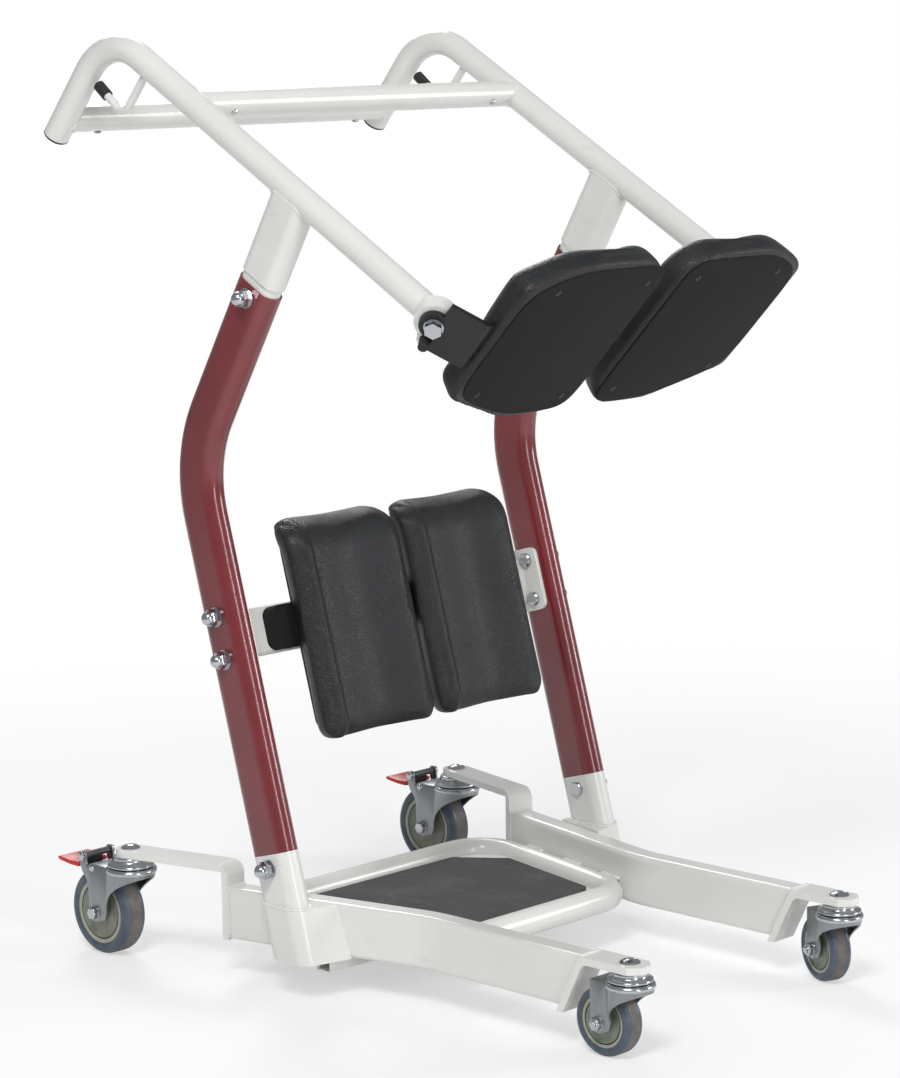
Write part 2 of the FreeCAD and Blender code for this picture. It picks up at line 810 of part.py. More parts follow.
sleeve = body("socket_sleeve")
section = sketch(sleeve, "XY_Plane", "-cut_over")
oval(section, "mast_depth", "mast_width")
pad(sleeve, section, "socket_height + cut_over")
shoe = body("socket_shoe")
section = sketch(shoe, "XY_Plane", "-cut_over")
oval(section, "mast_depth + shoe_grow", "mast_width + shoe_grow")
pad(shoe, section, "leg_height / cos(mast_lean) + 2 * cut_over")
gusset = body("socket_gusset")
section = sketch(gusset, "XY_Plane", "-cut_over")
polygon(section, [("-gusset_depth", "-gusset_front"), ("0", "-(mast_depth + shoe_grow) / 2"),
                  ("0", "(mast_depth + shoe_grow) / 2"), ("-gusset_depth", "gusset_rear")])
pad(gusset, section, "leg_height / cos(mast_lean) + 2 * cut_over")
for piece in (sleeve, shoe, gusset):
    place(piece, MAST_FOOT)
level = block("socket_level", "mast_x", "4 * mast_depth", "leg_height")
place(level, at("leg_x", "mast_foot_y - 2 * mast_depth", "leg_bottom"))
beside = block("leg_side", "2 * leg_width", "leg_rear_length", "leg_height + 2 * cut_over")
place(beside, at("leg_x", "leg_bend_y", "leg_bottom - cut_over", [("z", "-leg_splay")]),
      at("leg_width / 2 - 2 * leg_width"))
low_part = doc.addObject("Part::MultiCommon", "socket_low")
low_part.Shapes = [join("socket_shoe_gusset", shoe, gusset), level]
below = block("below_legs", "mast_x", "4 * mast_depth", "4 * cut_over")
place(below, at("leg_x", "mast_foot_y - 2 * mast_depth", "leg_bottom - 4 * cut_over"))
solid_socket = join("socket_solid", cut("socket_low_beside", low_part, beside),
                    cut("socket_sleeve_level", sleeve, below))
hole = body("socket_hole")
section = sketch(hole, "XY_Plane", "socket_seat")
oval(section, "swaged_depth + 2 * slip_fit", "swaged_width + 2 * slip_fit")
pad(hole, section, "socket_height")
place(hole, MAST_FOOT)
across = rod("socket_bolt_hole", "bolt_diameter / 2", "4 * mast_width")
place(across, MAST_FOOT, at("-2 * mast_width", "0", "socket_bolt_height", [("y", "90")]))
both_sides("mast_socket", cut("mast_socket", cut("socket_hollow", solid_socket, hole), across))

# Masts: flat oval tube with a knee; the lower end is swaged to slip into the socket

mast = body("mast")
section = sketch(mast, "XY_Plane", "socket_height")
oval(section, "mast_depth", "mast_width")
oval(section, "mast_depth - 2 * mast_wall", "mast_width - 2 * mast_wall")
spine = sketch(mast, "YZ_Plane")
route(spine, [("0", "socket_height"), ("0", "mast_knee_height"), ("mast_end_y", "mast_end_z")],
      ["mast_knee_radius"])
pipe(mast, section, spine)
collar = sketch(mast, "XY_Plane", "socket_height")
oval(collar, "mast_depth", "mast_width")
oval(collar, "swaged_depth - 2 * mast_wall", "swaged_width - 2 * mast_wall")
pad(mast, collar, "swage_taper")
slip = sketch(mast, "XY_Plane", "socket_seat")
oval(slip, "swaged_depth", "swaged_width")
oval(slip, "swaged_depth - 2 * mast_wall", "swaged_width - 2 * mast_wall")
pad(mast, slip, "socket_height - socket_seat + swage_taper")
holes = sketch(mast, "YZ_Plane")
circle(holes, "bolt_diameter / 2", "0", "socket_bolt_height")
circle(holes, "bolt_diameter / 2", "0", "knee_height - knee_bolt_rise")
circle(holes, "bolt_diameter / 2", "0", "knee_height + knee_bolt_rise")
circle(holes, "bolt_diameter / 2", "neck_bolt_y", "neck_bolt_z")
pocket(mast, holes, midplane=True)
place(mast, MAST_FOOT)
both_sides("mast", mast)

# Mast necks: the same oval tube, swaged into the mast top and coped to the handle tube

neck = body("neck")
step = "mast_upper_length + neck_step"
section = sketch(neck, "XY_Plane", step)
oval(section, "mast_depth", "mast_width")
oval(section, "mast_depth - 2 * mast_wall", "mast_width - 2 * mast_wall")
pad(neck, section, f"neck_reach - cope_short - ({step})")
collar = sketch(neck, "XY_Plane", step)
oval(collar, "mast_depth", "mast_width")
oval(collar, "neck_swaged_depth - 2 * mast_wall", "neck_swaged_width - 2 * mast_wall")
pad(neck, collar, "swage_taper")
slip = sketch(neck, "XY_Plane", "mast_upper_length - neck_insert")
oval(slip, "neck_swaged_depth", "neck_swaged_width")
oval(slip, "neck_swaged_depth - 2 * mast_wall", "neck_swaged_width - 2 * mast_wall")
pad(neck, slip, "neck_insert + neck_step + swage_taper")
bore(neck, "YZ_Plane", "bolt_diameter / 2", "0", "neck_bolt_run")
place(neck, MAST_HEAD)
straight_tube = rod("straight_tube", "tube_diameter / 2", "tube_corner")
place(straight_tube, HANDLE)
both_sides("mast_neck", cut("mast_neck", neck, straight_tube))

# Handle tubes: straight run, bent grip, and the seat pivot boss with its lobe

handle = body("handle")
section = sketch(handle, "XY_Plane")
circle(section, "tube_diameter / 2")
circle(section, "tube_diameter / 2 - tube_wall")
spine = sketch(handle, "YZ_Plane")
route(spine, [("0", "0"), ("0", "tube_corner"), ("grip_end_y", "grip_end_z")],
      ["tube_bend_radius"])
pipe(handle, section, spine)
place(handle, HANDLE)
boss = rod("seat_boss", "boss_radius", "boss_front + boss_back")
place(boss, SEAT, HINGE, at(z="-boss_back"))
lobe = rod("seat_boss_lobe", "lobe_radius", "boss_front + boss_back")
place(lobe, SEAT, HINGE, at("pin_m", "pin_v", "-boss_back"))
pivot_hole = rod("seat_pivot_hole", "pivot_diameter / 2", "boss_front + 2 * boss_back")
place(pivot_hole, SEAT, HINGE, at(z="-2 * boss_back"))
both_sides("handle_tube", cut("handle_tube", join("handle_solid", handle, boss, lobe), pivot_hole))
cap = screw("grip_cap", "tube_diameter / 2 - tube_wall", "cap_plug", "tube_diameter / 2",
            "cap_thickness")
place(cap, HANDLE, GRIP, at(z="grip_length"))
pairs("handle_end_caps", cap)

# Bag hooks under the handle tubes, with soft caps

hook = body("hook")
section = sketch(hook, "XY_Plane")
circle(section, "hook_rod / 2")
spine = sketch(hook, "YZ_Plane")
route(spine, [("0", "0"), ("0", "hook_run"), ("hook_tip_y", "hook_tip_z")],
      ["hook_bend_radius"])
pipe(hook, section, spine)
place(hook, HANDLE, HOOK)
pairs("bag_hooks", cut("coped_hook", hook, straight_tube))
hook_cap = turned("hook_cap", [("hook_rod / 2", "-hook_cap_cover"),
                               ("hook_cap_diameter / 2", "-hook_cap_cover"),
                               ("hook_cap_diameter / 2", "hook_cap_end - edge_bevel"),
                               ("hook_cap_diameter / 2 - edge_bevel", "hook_cap_end"),
                               ("0", "hook_cap_end"), ("0", "0"), ("hook_rod / 2", "0")])
place(hook_cap, HANDLE, HOOK, at("0", "hook_tip_y", "hook_tip_z", [("x", "hook_turn")]))
pairs("hook_caps", hook_cap)

# Cross bars between the handle tubes: swaged ends slip into welded stubs

BARS = {"front": at("0", "front_bar_y", "front_bar_z"),
        "rear": at("0", "rear_bar_y", "rear_bar_z")}
SCREW_TURNS = {"front": "front_screw_turn", "rear": "180"}
grip_tube = rod("grip_tube", "tube_diameter / 2", "grip_length")
place(grip_tube, HANDLE, GRIP)
bar_bore = "bar_swaged / 2 - tube_wall"
bar_reach = "stub_inner_x + bar_insert"
stubs, screws = [], []
for name, middle in BARS.items():
    bar = turned(name + "_bar", [(bar_bore, f"-({bar_reach})"),
                                 ("bar_swaged / 2", f"-({bar_reach})"),
                                 ("bar_swaged / 2", "-stub_inner_x"),
                                 ("tube_diameter / 2", "-stub_inner_x"),
                                 ("tube_diameter / 2", "stub_inner_x"),
                                 ("bar_swaged / 2", "stub_inner_x"),
                                 ("bar_swaged / 2", bar_reach), (bar_bore, bar_reach)])
    place(bar, middle, at(turns=[("y", "90")]))
    stub = tube(name + "_stub", "tube_diameter / 2", "tube_wall",
                "mast_x - cope_short - stub_inner_x", "stub_inner_x")
    place(stub, middle, at(turns=[("y", "90")]))
    drills = []
    for side in ("", "-"):
        drill = rod(name + "_screw_hole", "screw_shank / 2 + screw_fit", "tube_diameter / 2")
        place(drill, middle, at(side + "bar_screw_x", turns=[("x", SCREW_TURNS[name])]))
        drills.append(drill)
    node(cut(name + "_crossbar", bar, group(name + "_drills", *drills)))
    coped = cut(name + "_coped", stub, grip_tube if name == "rear" else straight_tube)
    stubs.append(cut(name + "_stub_drilled", coped, drills[0]))
    bar_screw = screw(name + "_screw", "screw_shank / 2", "screw_length", "screw_head / 2",
                      "screw_head_height")
    place(bar_screw, middle, at("bar_screw_x", turns=[("x", SCREW_TURNS[name])]),
          at(z="tube_diameter / 2"))
    screws.append(bar_screw)
pairs("crossbar_stubs", *stubs)
pairs("crossbar_screws", *screws)

# Knee bar: rectangular tube with end plates bolted to the masts

bar = body("knee_bar")
section = sketch(bar, "YZ_Plane")
for inset in ("0", "knee_bar_wall"):
    low = f"knee_bar_back - knee_bar_depth + {inset}"
    high, half = f"knee_bar_back - {inset}", f"knee_bar_height / 2 - {inset}"
    route(section, [(low, f"-({half})"), (high, f"-({half})"), (high, half), (low, half)],
          [f"knee_bar_corner - {inset} + edge_bevel"] * 4, closed=True)
pad(bar, section, "2 * knee_bar_half", midplane=True)
place(bar, KNEE)
node(bar)

end_plate = body("knee_end_plate")
section = sketch(end_plate, "YZ_Plane", "knee_bar_half")
low, high = "-knee_plate_height / 2", "knee_plate_height / 2"
route(section, [("-knee_plate_front", low), ("knee_plate_rear", low),
                ("knee_plate_rear", high), ("-knee_plate_front", high)],
      ["knee_plate_corner"] * 4, closed=True)
circle(section, "bolt_diameter / 2", "0", "-knee_bolt_rise")
circle(section, "bolt_diameter / 2", "0", "knee_bolt_rise")
pad(end_plate, section, "knee_plate_thickness")
place(end_plate, KNEE)
pairs("knee_bar_plates", end_plate)

# Knee pads: hollowed cushions with rolled lips on flat boards

block_front = "knee_bar_back - knee_bar_depth - knee_block_depth"
board_front = f"{block_front} - knee_board_thickness"
board = body("knee_board")
section = sketch(board, "XZ_Plane", f"0 - ({board_front}) - knee_board_thickness")
left, right = "knee_pad_gap / 2 + knee_board_inset", "knee_pad_gap / 2 + knee_pad_width"
right += " - knee_board_inset"
low, high = "knee_board_inset - knee_pad_bottom", "knee_pad_top - knee_board_inset"
route(section, [(left, low), (right, low), (right, high), (left, high)],
      ["knee_board_round"] * 4, closed=True)
pad(board, section, "knee_board_thickness")
place(board, KNEE)
spacer = body("knee_spacer")
section = sketch(spacer, "XZ_Plane", f"0 - ({block_front}) - knee_block_depth")
route(section, [("-knee_block_half", "-knee_block_height / 2"),
                ("knee_block_half", "-knee_block_height / 2"),
                ("knee_block_half", "knee_block_height / 2"),
                ("-knee_block_half", "knee_block_height / 2")],
      ["knee_board_round"] * 4, closed=True)
pad(spacer, section, "knee_block_depth")
place(spacer, KNEE)
node(group("knee_pad_boards", board, mirror("knee_board_left", board), spacer))

knee_pad = body("knee_pad")
section = sketch(knee_pad, "XY_Plane", "-knee_pad_bottom")
left, right = "knee_pad_gap / 2", "knee_pad_gap / 2 + knee_pad_width"
lip, hollow = f"{board_front} - knee_pad_depth", f"{board_front} - knee_pad_depth + knee_pad_hollow"
slope = "(knee_pad_lip + knee_pad_slope)"
route(section, [(left, board_front), (left, lip), (f"{left} + knee_pad_lip", lip),
                (f"{left} + {slope}", hollow), (f"{right} - {slope}", hollow),
                (f"{right} - knee_pad_lip", lip), (right, lip), (right, board_front)],
      ["knee_pad_back_round", "knee_pad_lip_round", "knee_pad_lip_round", "knee_pad_valley",
       "knee_pad_valley", "knee_pad_lip_round", "knee_pad_lip_round", "knee_pad_back_round"],
      closed=True)
pad(knee_pad, section, "knee_pad_top + knee_pad_bottom")
place(knee_pad, KNEE)
both_sides("knee_pad", knee_pad)

# Bolts through the masts: heads inside, washers and domed nuts outside

BOLTS = {"socket": (MAST_FOOT, "socket_bolt_height", "mast_width / 2"),
         "knee_low": (MAST_FOOT, "knee_height - knee_bolt_rise",
                      "mast_width / 2 + knee_plate_thickness"),
         "knee_high": (MAST_FOOT, "knee_height + knee_bolt_rise",
                       "mast_width / 2 + knee_plate_thickness"),
         "neck": (MAST_HEAD, "neck_bolt_run", "mast_width / 2")}
bolts, washers, nuts = [], [], []
for name, (branch, height, inner) in BOLTS.items():
    outward = at("0", "0", height, [("y", "90")])
    length = f"{inner} + mast_width / 2 + washer_thickness + nut_height"
    bolt = screw(name + "_bolt", "bolt_diameter / 2", length, "bolt_head / 2", "button_height")
    place(bolt, branch, outward, at(z=f"-({inner})", turns=[("x", "180")]))
    bolts.append(bolt)
    washer = tube(name + "_washer", "washer_diameter / 2",
                  "washer_diameter / 2 - bolt_diameter / 2", "washer_thickness")
    place(washer, branch, outward, at(z="mast_width / 2"))
    washers.append(washer)
    dome = doc.addObject("Part::Sphere", name + "_dome")
    bind(dome, Radius="nut_dome")
    place(dome, at(z="nut_height"))
    body_bore = rod(name + "_nut_bore", "bolt_diameter / 2", "nut_height")
    nut = cut(name + "_nut", join(name + "_nut_solid",
                                  hexagon(name + "_hexagon", "nut_width", "nut_height"), dome),
              body_bore)
    place(nut, branch, outward, at(z="mast_width / 2 + washer_thickness"))
    nuts.append(nut)
pairs("mast_bolts", *bolts)
pairs("bolt_washers", *washers)
pairs("acorn_nuts", *nuts)

# Seat halves: board, cushion, screws, and the bent hinge plate on its pivot

SEAT_OUTLINE = [("seat_outer", "-seat_outer_up"),
                ("seat_outer - seat_shoulder_up", "-seat_up"),
                ("seat_inner", "-seat_up"), ("seat_inner", "seat_down"),
                ("seat_outer - seat_shoulder_down", "seat_down"),
                ("seat_outer", "seat_outer_down")]
SEAT_ROUNDS = ["seat_outer_round", "seat_shoulder_round", "seat_inner_round",
               "seat_inner_round", "seat_shoulder_round", "seat_outer_round"]
board = body("seat_board")
outline = sketch(board, "XY_Plane", "-seat_drop")
route(outline, SEAT_OUTLINE, SEAT_ROUNDS, closed=True)
SCREWS = [(x, y) for x in ("seat_inner + seat_screw_inset_x",
                           "seat_inner + seat_screw_inset_x + seat_screw_pitch_x")
          for y in ("seat_screw_v - seat_screw_pitch_v / 2",
                    "seat_screw_v + seat_screw_pitch_v / 2")]
for x, y in SCREWS:
    circle(outline, "screw_shank / 2 + screw_fit", x, y)
pad(board, outline, "seat_board")
place(board, SEAT)
both_sides("seat_board", board)

cushion = body("seat_cushion")
outline = sketch(cushion, "XY_Plane", "seat_board_top")
route(outline, SEAT_OUTLINE, SEAT_ROUNDS, closed=True)
pad(cushion, outline, "seat_foam")
top = "seat_board_top + seat_foam"
round_edges(cushion, "seat_edge_round",
            lambda edge: all(abs(v.Point.z - value(top)) < 0.01 for v in edge.Vertexes))
notch = sketch(cushion, "XY_Plane", "seat_board_top")
polygon(notch, [("-flange_end - flange_clear", "-hinge_ear_up - flange_clear"),
                ("boss_radius", "-hinge_ear_up - flange_clear"),
                ("boss_radius", "hinge_ear_down + flange_clear"),
                ("-flange_end - flange_clear", "hinge_ear_down + flange_clear")])
pocket(cushion, notch, "hinge_plate + flange_clear", reverse=True)
place(cushion, SEAT)
both_sides("seat_cushion", cushion)

screws = []
for number, (x, y) in enumerate(SCREWS):
    fastener = screw(f"seat_screw_{number}", "screw_shank / 2", "seat_screw_length",
                     "seat_screw_head / 2", "seat_screw_height")
    place(fastener, SEAT, at(x, y, "-seat_drop", [("x", "180")]))
    screws.append(fastener)
both_sides("seat_screws", group("seat_screws", *screws))

strip = body("hinge_strip")
section = sketch(strip, "XZ_Plane", "-hinge_ear_down")


def across_hinge(run, lift):
    """A point of the hinge plate's own section, seen along the pad."""
    return (f"({lift}) * cos(hinge_cant) - ({run}) * sin(hinge_cant)",
            f"0 - ({lift}) * sin(hinge_cant) - ({run}) * cos(hinge_cant)")


fold_outer, fold_inner = ("hinge_fold_x", "seat_board_top"), ("hinge_fold_inner_x", "flange_top")
polygon(section, [fold_outer, ("-flange_end", "seat_board_top"), ("-flange_end", "flange_top"),
                  fold_inner, across_hinge("hinge_stop_edge", "plate_back"),
                  across_hinge("hinge_stop_edge", "plate_front")])
pad(strip, section, "hinge_ear_up + hinge_ear_down")
round_edges(strip, "fold_radius", corner_edges(Vector(0, 1, 0), fold_outer))
place(strip, SEAT)
eye = rod("hinge_eye", "hinge_eye", "hinge_plate")
place(eye, SEAT, HINGE, at(z="plate_back"))
ear = block("hinge_ear", "2 * hinge_stop_edge - hinge_open_edge", "hinge_ear_up", "hinge_plate")
place(ear, SEAT, HINGE, at("hinge_open_edge", "-hinge_ear_up", "plate_back"))
bush_hole = rod("hinge_bore", "bush_outer / 2 + bush_fit", "3 * hinge_plate")
place(bush_hole, SEAT, HINGE, at(z="plate_back - hinge_plate"))
both_sides("seat_hinge", cut("seat_hinge", join("hinge_solid", strip, eye, ear), bush_hole))

bush = tube("pivot_bush", "bush_outer / 2", "bush_outer / 2 - pivot_diameter / 2",
            "2 * hinge_gap + hinge_plate", "boss_front")
place(bush, SEAT, HINGE)
pairs("seat_pivot_bushes", bush)
head_at = "boss_front + 2 * hinge_gap + hinge_plate"
shank = rod("pivot_shank", "pivot_diameter / 2", f"boss_back + {head_at}")
place(shank, at(z="-boss_back"))
flange = rod("pivot_flange", "pivot_washer / 2", "pivot_washer_thickness")
place(flange, at(z=head_at))
head = hexagon("pivot_head", "pivot_head", "pivot_head_height")
place(head, at(z=f"{head_at} + pivot_washer_thickness"))
pivot = join("pivot_bolt", shank, flange, head)
place(pivot, SEAT, HINGE)
pairs("seat_pivot_bolts", pivot)
stop = turned("stop_pin", [("0", "0"), ("pin_diameter / 2", "0"),
                           ("pin_diameter / 2", "pin_length - edge_bevel"),
                           ("pin_diameter / 2 - edge_bevel", "pin_length"),
                           ("0", "pin_length")])
place(stop, SEAT, HINGE, at("pin_m", "pin_v", "boss_front"))
pairs("seat_stop_pins", stop)

# Casters: stem and cup on the arm, fork below, axle, wheel and, at the rear, a brake

CASTERS = {"left_rear": ("rear", "-rear_caster_x", "rear_caster_y", "rear_arm_top", "0"),
           "right_rear": ("rear", "rear_caster_x", "rear_caster_y", "rear_arm_top", "0"),
           "left_front": ("front", "-leg_x", "front_caster_y", "leg_top", "0"),
           "right_front": ("front", "leg_x", "front_caster_y", "leg_top", "right_front_yaw")}
stems, cups = [], []
for name, (end, x, y, arm_top, yaw) in CASTERS.items():
    caster = at(x, y, turns=[("z", yaw)])
    wheel_radius, trail = f"{end}_wheel_radius", f"{end}_trail"
    fork_top, race = f"{end}_fork_top", f"{end}_race_radius"
    plate_inner = f"{end}_wheel_width / 2 + fork_gap"
    plate_outer = f"{end}_wheel_width / 2 + fork_gap + fork_plate"
    crown_low = f"{fork_top} - race_height"
    flange_top, flange_low = f"{crown_low} - stem_gap", f"{crown_low} - stem_gap - stem_flange_height"
    stem = turned(name + "_stem", [
        ("0", flange_low), ("stem_flange / 2", flange_low), ("stem_flange / 2", flange_top),
        ("stem_diameter / 2", flange_top), ("stem_diameter / 2", arm_top),
        ("stem_head / 2", arm_top), ("stem_head / 2", f"{arm_top} + stem_head_bevel"),
        ("stem_head / 2 - stem_head_bevel", f"{arm_top} + stem_head_height"),
        ("0", f"{arm_top} + stem_head_height")])
    place(stem, at(x, y))
    stems.append(stem)
    cup_low, cup_top = f"{fork_top} + race_gap", f"{arm_top} - arm_thickness"
    rim = f"{end}_cup_radius"
    cup = turned(name + "_cup", [
        ("stem_diameter / 2", cup_low), (rim, cup_low), (rim, f"{cup_low} + cup_rim"),
        (f"{rim} - cup_slope", cup_top), ("stem_diameter / 2", cup_top)])
    place(cup, at(x, y))
    cups.append(cup)

    crown = body(name + "_crown")
    section = sketch(crown, "XY_Plane", crown_low)
    polygon(section, [(f"-({plate_outer})", "0"), (plate_outer, "0"),
                      (plate_outer, "crown_rear"), (f"-({plate_outer})", "crown_rear")])
    pad(crown, section, "race_height")
    section = sketch(crown, "XY_Plane", crown_low)
    circle(section, race)
    pad(crown, section, "race_height")
    bore(crown, "XY_Plane", "stem_diameter / 2 + stem_fit", "0", "0")
    fork_side = [("-fork_front", fork_top), ("-fork_front", f"{fork_top} - fork_lip"),
                 (f"{trail} - fork_foot - fork_bow_y", f"{wheel_radius} + fork_bow_z"),
                 (f"{trail} - fork_foot", wheel_radius),
                 (f"{trail} - fork_foot / 2", f"{wheel_radius} - fork_foot"),
                 (f"{trail} + fork_foot / 2", f"{wheel_radius} - fork_foot"),
                 (f"{trail} + fork_foot", f"{wheel_radius} - fork_foot / 2")]
    if end == "rear":
        fork_side += [(f"{trail} + fork_foot", "roller_z - 2 * ear_drop"),
                      ("roller_y + ear_radius", "roller_z - ear_drop"),
                      ("roller_y + ear_radius", "roller_z + ear_radius"),
                      ("roller_y - ear_radius", "roller_z + ear_radius"),
                      ("roller_y - ear_radius", fork_top)]
    else:
        fork_side += [(f"{trail} + fork_foot", fork_top)]
    sides = []
    for start in (plate_inner, f"-({plate_outer})"):
        side = body(name + "_fork_side")
        section = sketch(side, "YZ_Plane", start)
        polygon(section, fork_side)
        circle(section, "axle_diameter / 2", trail, wheel_radius)
        if end == "rear":
            circle(section, "roller_diameter / 2", "roller_y", "roller_z")
            circle(section, "rivet_diameter / 2", "rivet_y", "rivet_z")
        pad(side, section, "fork_plate")
        sides.append(side)
    fork = join(name + "_fork_solid", crown, *sides)
    axle_at = at("0", trail, wheel_radius, [("y", "90")])
    axle_shank = rod(name + "_axle_shank", "axle_diameter / 2", f"2 * ({plate_outer})")
    place(axle_shank, at(z=f"-({plate_outer})"))
    heads = []
    for sign, turn in (("", "0"), ("-", "180")):
        head = hexagon(name + "_axle_head", "axle_head", "axle_head_height")
        place(head, at(z=f"{sign}({plate_outer})", turns=[("x", turn)]))
        heads.append(head)
    axle = join(name + "_axle", axle_shank, *heads)
    place(axle, caster, axle_at)
    node(axle)

    half, hub, groove = f"{end}_wheel_width / 2", f"{end}_hub_radius", f"{end}_disc_radius"
    face = f"{half} - hub_recess"
    hub_axle = "axle_diameter / 2 + axle_fit"
    right_side = [(hub, face), (f"{groove} + disc_groove", face),
                  (f"{groove} + disc_groove", f"{face} - disc_groove"),
                  (groove, f"{face} - disc_groove"), (groove, face), (hub_axle, face)]
    left_side = [(x, f"0 - ({z})") for x, z in reversed(right_side)]
    hub_solid = turned(name + "_hub", right_side + left_side)
    edge = f"{half} - hub_recess / 2"
    tyre = turned(name + "_tyre", [(hub, f"0 - ({edge})"), (f"{hub} + hub_recess", f"0 - ({half})"),
                                   (wheel_radius, f"0 - ({half})"), (wheel_radius, half),
                                   (f"{hub} + hub_recess", half), (hub, edge)])
    round_edges(tyre, f"{end}_tyre_round",
                lambda e: abs(getattr(e.Curve, "Radius", 0) - value(wheel_radius)) < 0.01)
    wheel = group(name + "_wheel", hub_solid, tyre)
    place(wheel, caster, axle_at)
    node(wheel)

    if end == "front":
        fork.Label = name + "_fork"
        place(fork, caster)
        node(fork)
        continue
    roller = rod(name + "_roller", "roller_diameter / 2", f"2 * ({plate_outer} + roller_proud)")
    place(roller, at(f"-({plate_outer} + roller_proud)", "roller_y", "roller_z", [("y", "90")]))
    rivets = []
    for start in (plate_inner, f"-({plate_outer}) - rivet_proud"):
        rivet = rod(name + "_rivet", "rivet_diameter / 2", "fork_plate + rivet_proud")
        place(rivet, at(start, "rivet_y", "rivet_z", [("y", "90")]))
        rivets.append(rivet)
    rear_fork = group(name + "_fork", fork, roller, *rivets)
    place(rear_fork, caster)
    node(rear_fork)

    pedal_bore = "roller_diameter / 2 + pedal_fit"
    lever = body(name + "_lever")
    section = sketch(lever, "YZ_Plane")
    polygon(section, [("roller_y", "pedal_start_z"), ("pedal_tip", "pedal_tip_z"),
                      ("pedal_tip", "pedal_tip_z - pedal_thickness"),
                      ("roller_y", "pedal_start_z - pedal_thickness")])
    pad(lever, section, "pedal_width", midplane=True)
    section = sketch(lever, "YZ_Plane")
    circle(section, "pedal_hub / 2", "roller_y", "roller_z")
    pad(lever, section, "pedal_width", midplane=True)
    section = sketch(lever, "YZ_Plane")
    polygon(section, [("roller_y", "shoe_z"), ("shoe_y", "shoe_z"), ("shoe_y", "roller_z"),
                      ("roller_y", "roller_z")])
    pad(lever, section, "shoe_width", midplane=True)
    bore(lever, "YZ_Plane", pedal_bore, "roller_y", "roller_z")
    place(lever, caster)
    lever.Label = name.replace("_rear", "_brake_pedal")
    node(lever)

node(group("caster_stems", *stems))
node(group("caster_cups", *cups))

# Every piece is sound, then each is written to its own file

doc.recompute()
for thing in doc.Objects:
    if {"Invalid", "Error"} & set(thing.State):
        raise RuntimeError(f"{thing.Label} is not built: {thing.State}")
for thing in NODES:
    if thing.Shape.isNull() or not thing.Shape.isValid() or not thing.Shape.Solids:
        raise RuntimeError(f"{thing.Label} has no sound shape")
os.makedirs("parts", exist_ok=True)
for thing in NODES:
    thing.Shape.exportStep(f"parts/{thing.Label}.step")
print(len(NODES), "nodes")
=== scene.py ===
import json
import math
import random

import bmesh
import bpy
from mathutils import Matrix, Vector
from mathutils.bvhtree import BVHTree


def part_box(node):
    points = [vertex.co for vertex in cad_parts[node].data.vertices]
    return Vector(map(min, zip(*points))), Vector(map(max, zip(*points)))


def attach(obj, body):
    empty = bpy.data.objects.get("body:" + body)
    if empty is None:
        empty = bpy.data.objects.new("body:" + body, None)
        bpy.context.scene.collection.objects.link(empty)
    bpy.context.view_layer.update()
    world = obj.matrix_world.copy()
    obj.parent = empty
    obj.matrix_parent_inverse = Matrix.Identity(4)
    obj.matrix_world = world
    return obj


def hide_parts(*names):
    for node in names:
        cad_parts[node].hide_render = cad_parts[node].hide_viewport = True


# A standing transfer aid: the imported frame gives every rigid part, and this file gives
# the finishes, the upholstery, the weld seams and the pressed caster parts. Metres.

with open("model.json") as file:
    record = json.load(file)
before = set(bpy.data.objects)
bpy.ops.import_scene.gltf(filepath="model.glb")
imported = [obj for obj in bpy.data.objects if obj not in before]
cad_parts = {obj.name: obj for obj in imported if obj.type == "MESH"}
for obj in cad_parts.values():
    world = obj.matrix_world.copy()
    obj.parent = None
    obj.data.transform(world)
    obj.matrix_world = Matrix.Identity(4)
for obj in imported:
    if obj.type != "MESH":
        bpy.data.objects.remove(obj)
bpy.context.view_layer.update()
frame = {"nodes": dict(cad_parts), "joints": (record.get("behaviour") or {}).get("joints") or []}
nodes = frame["nodes"]
joints = {joint["name"]: joint for joint in frame["joints"]}
MM = 0.001

# Base legs and the bent flat bars that carry the casters. Rectangular steel tube, welded
# and powder coated in one smooth warm white with a faint orange peel under the gloss.


class Link:
    """What a node puts out. A sum, difference or product on it adds a Math node."""

    def __init__(self, finish, socket):
        self.finish = finish
        self.socket = socket

    def math(self, operation, first, second):
        return self.finish.node("Math", {0: first, 1: second}, operation=operation)

    def __add__(self, other):
        return self.math("ADD", self, other)

    def __sub__(self, other):
        return self.math("SUBTRACT", self, other)

    def __rsub__(self, other):
        return self.math("SUBTRACT", other, self)

    def __mul__(self, other):
        return self.math("MULTIPLY", self, other)

    __radd__ = __add__
    __rmul__ = __mul__


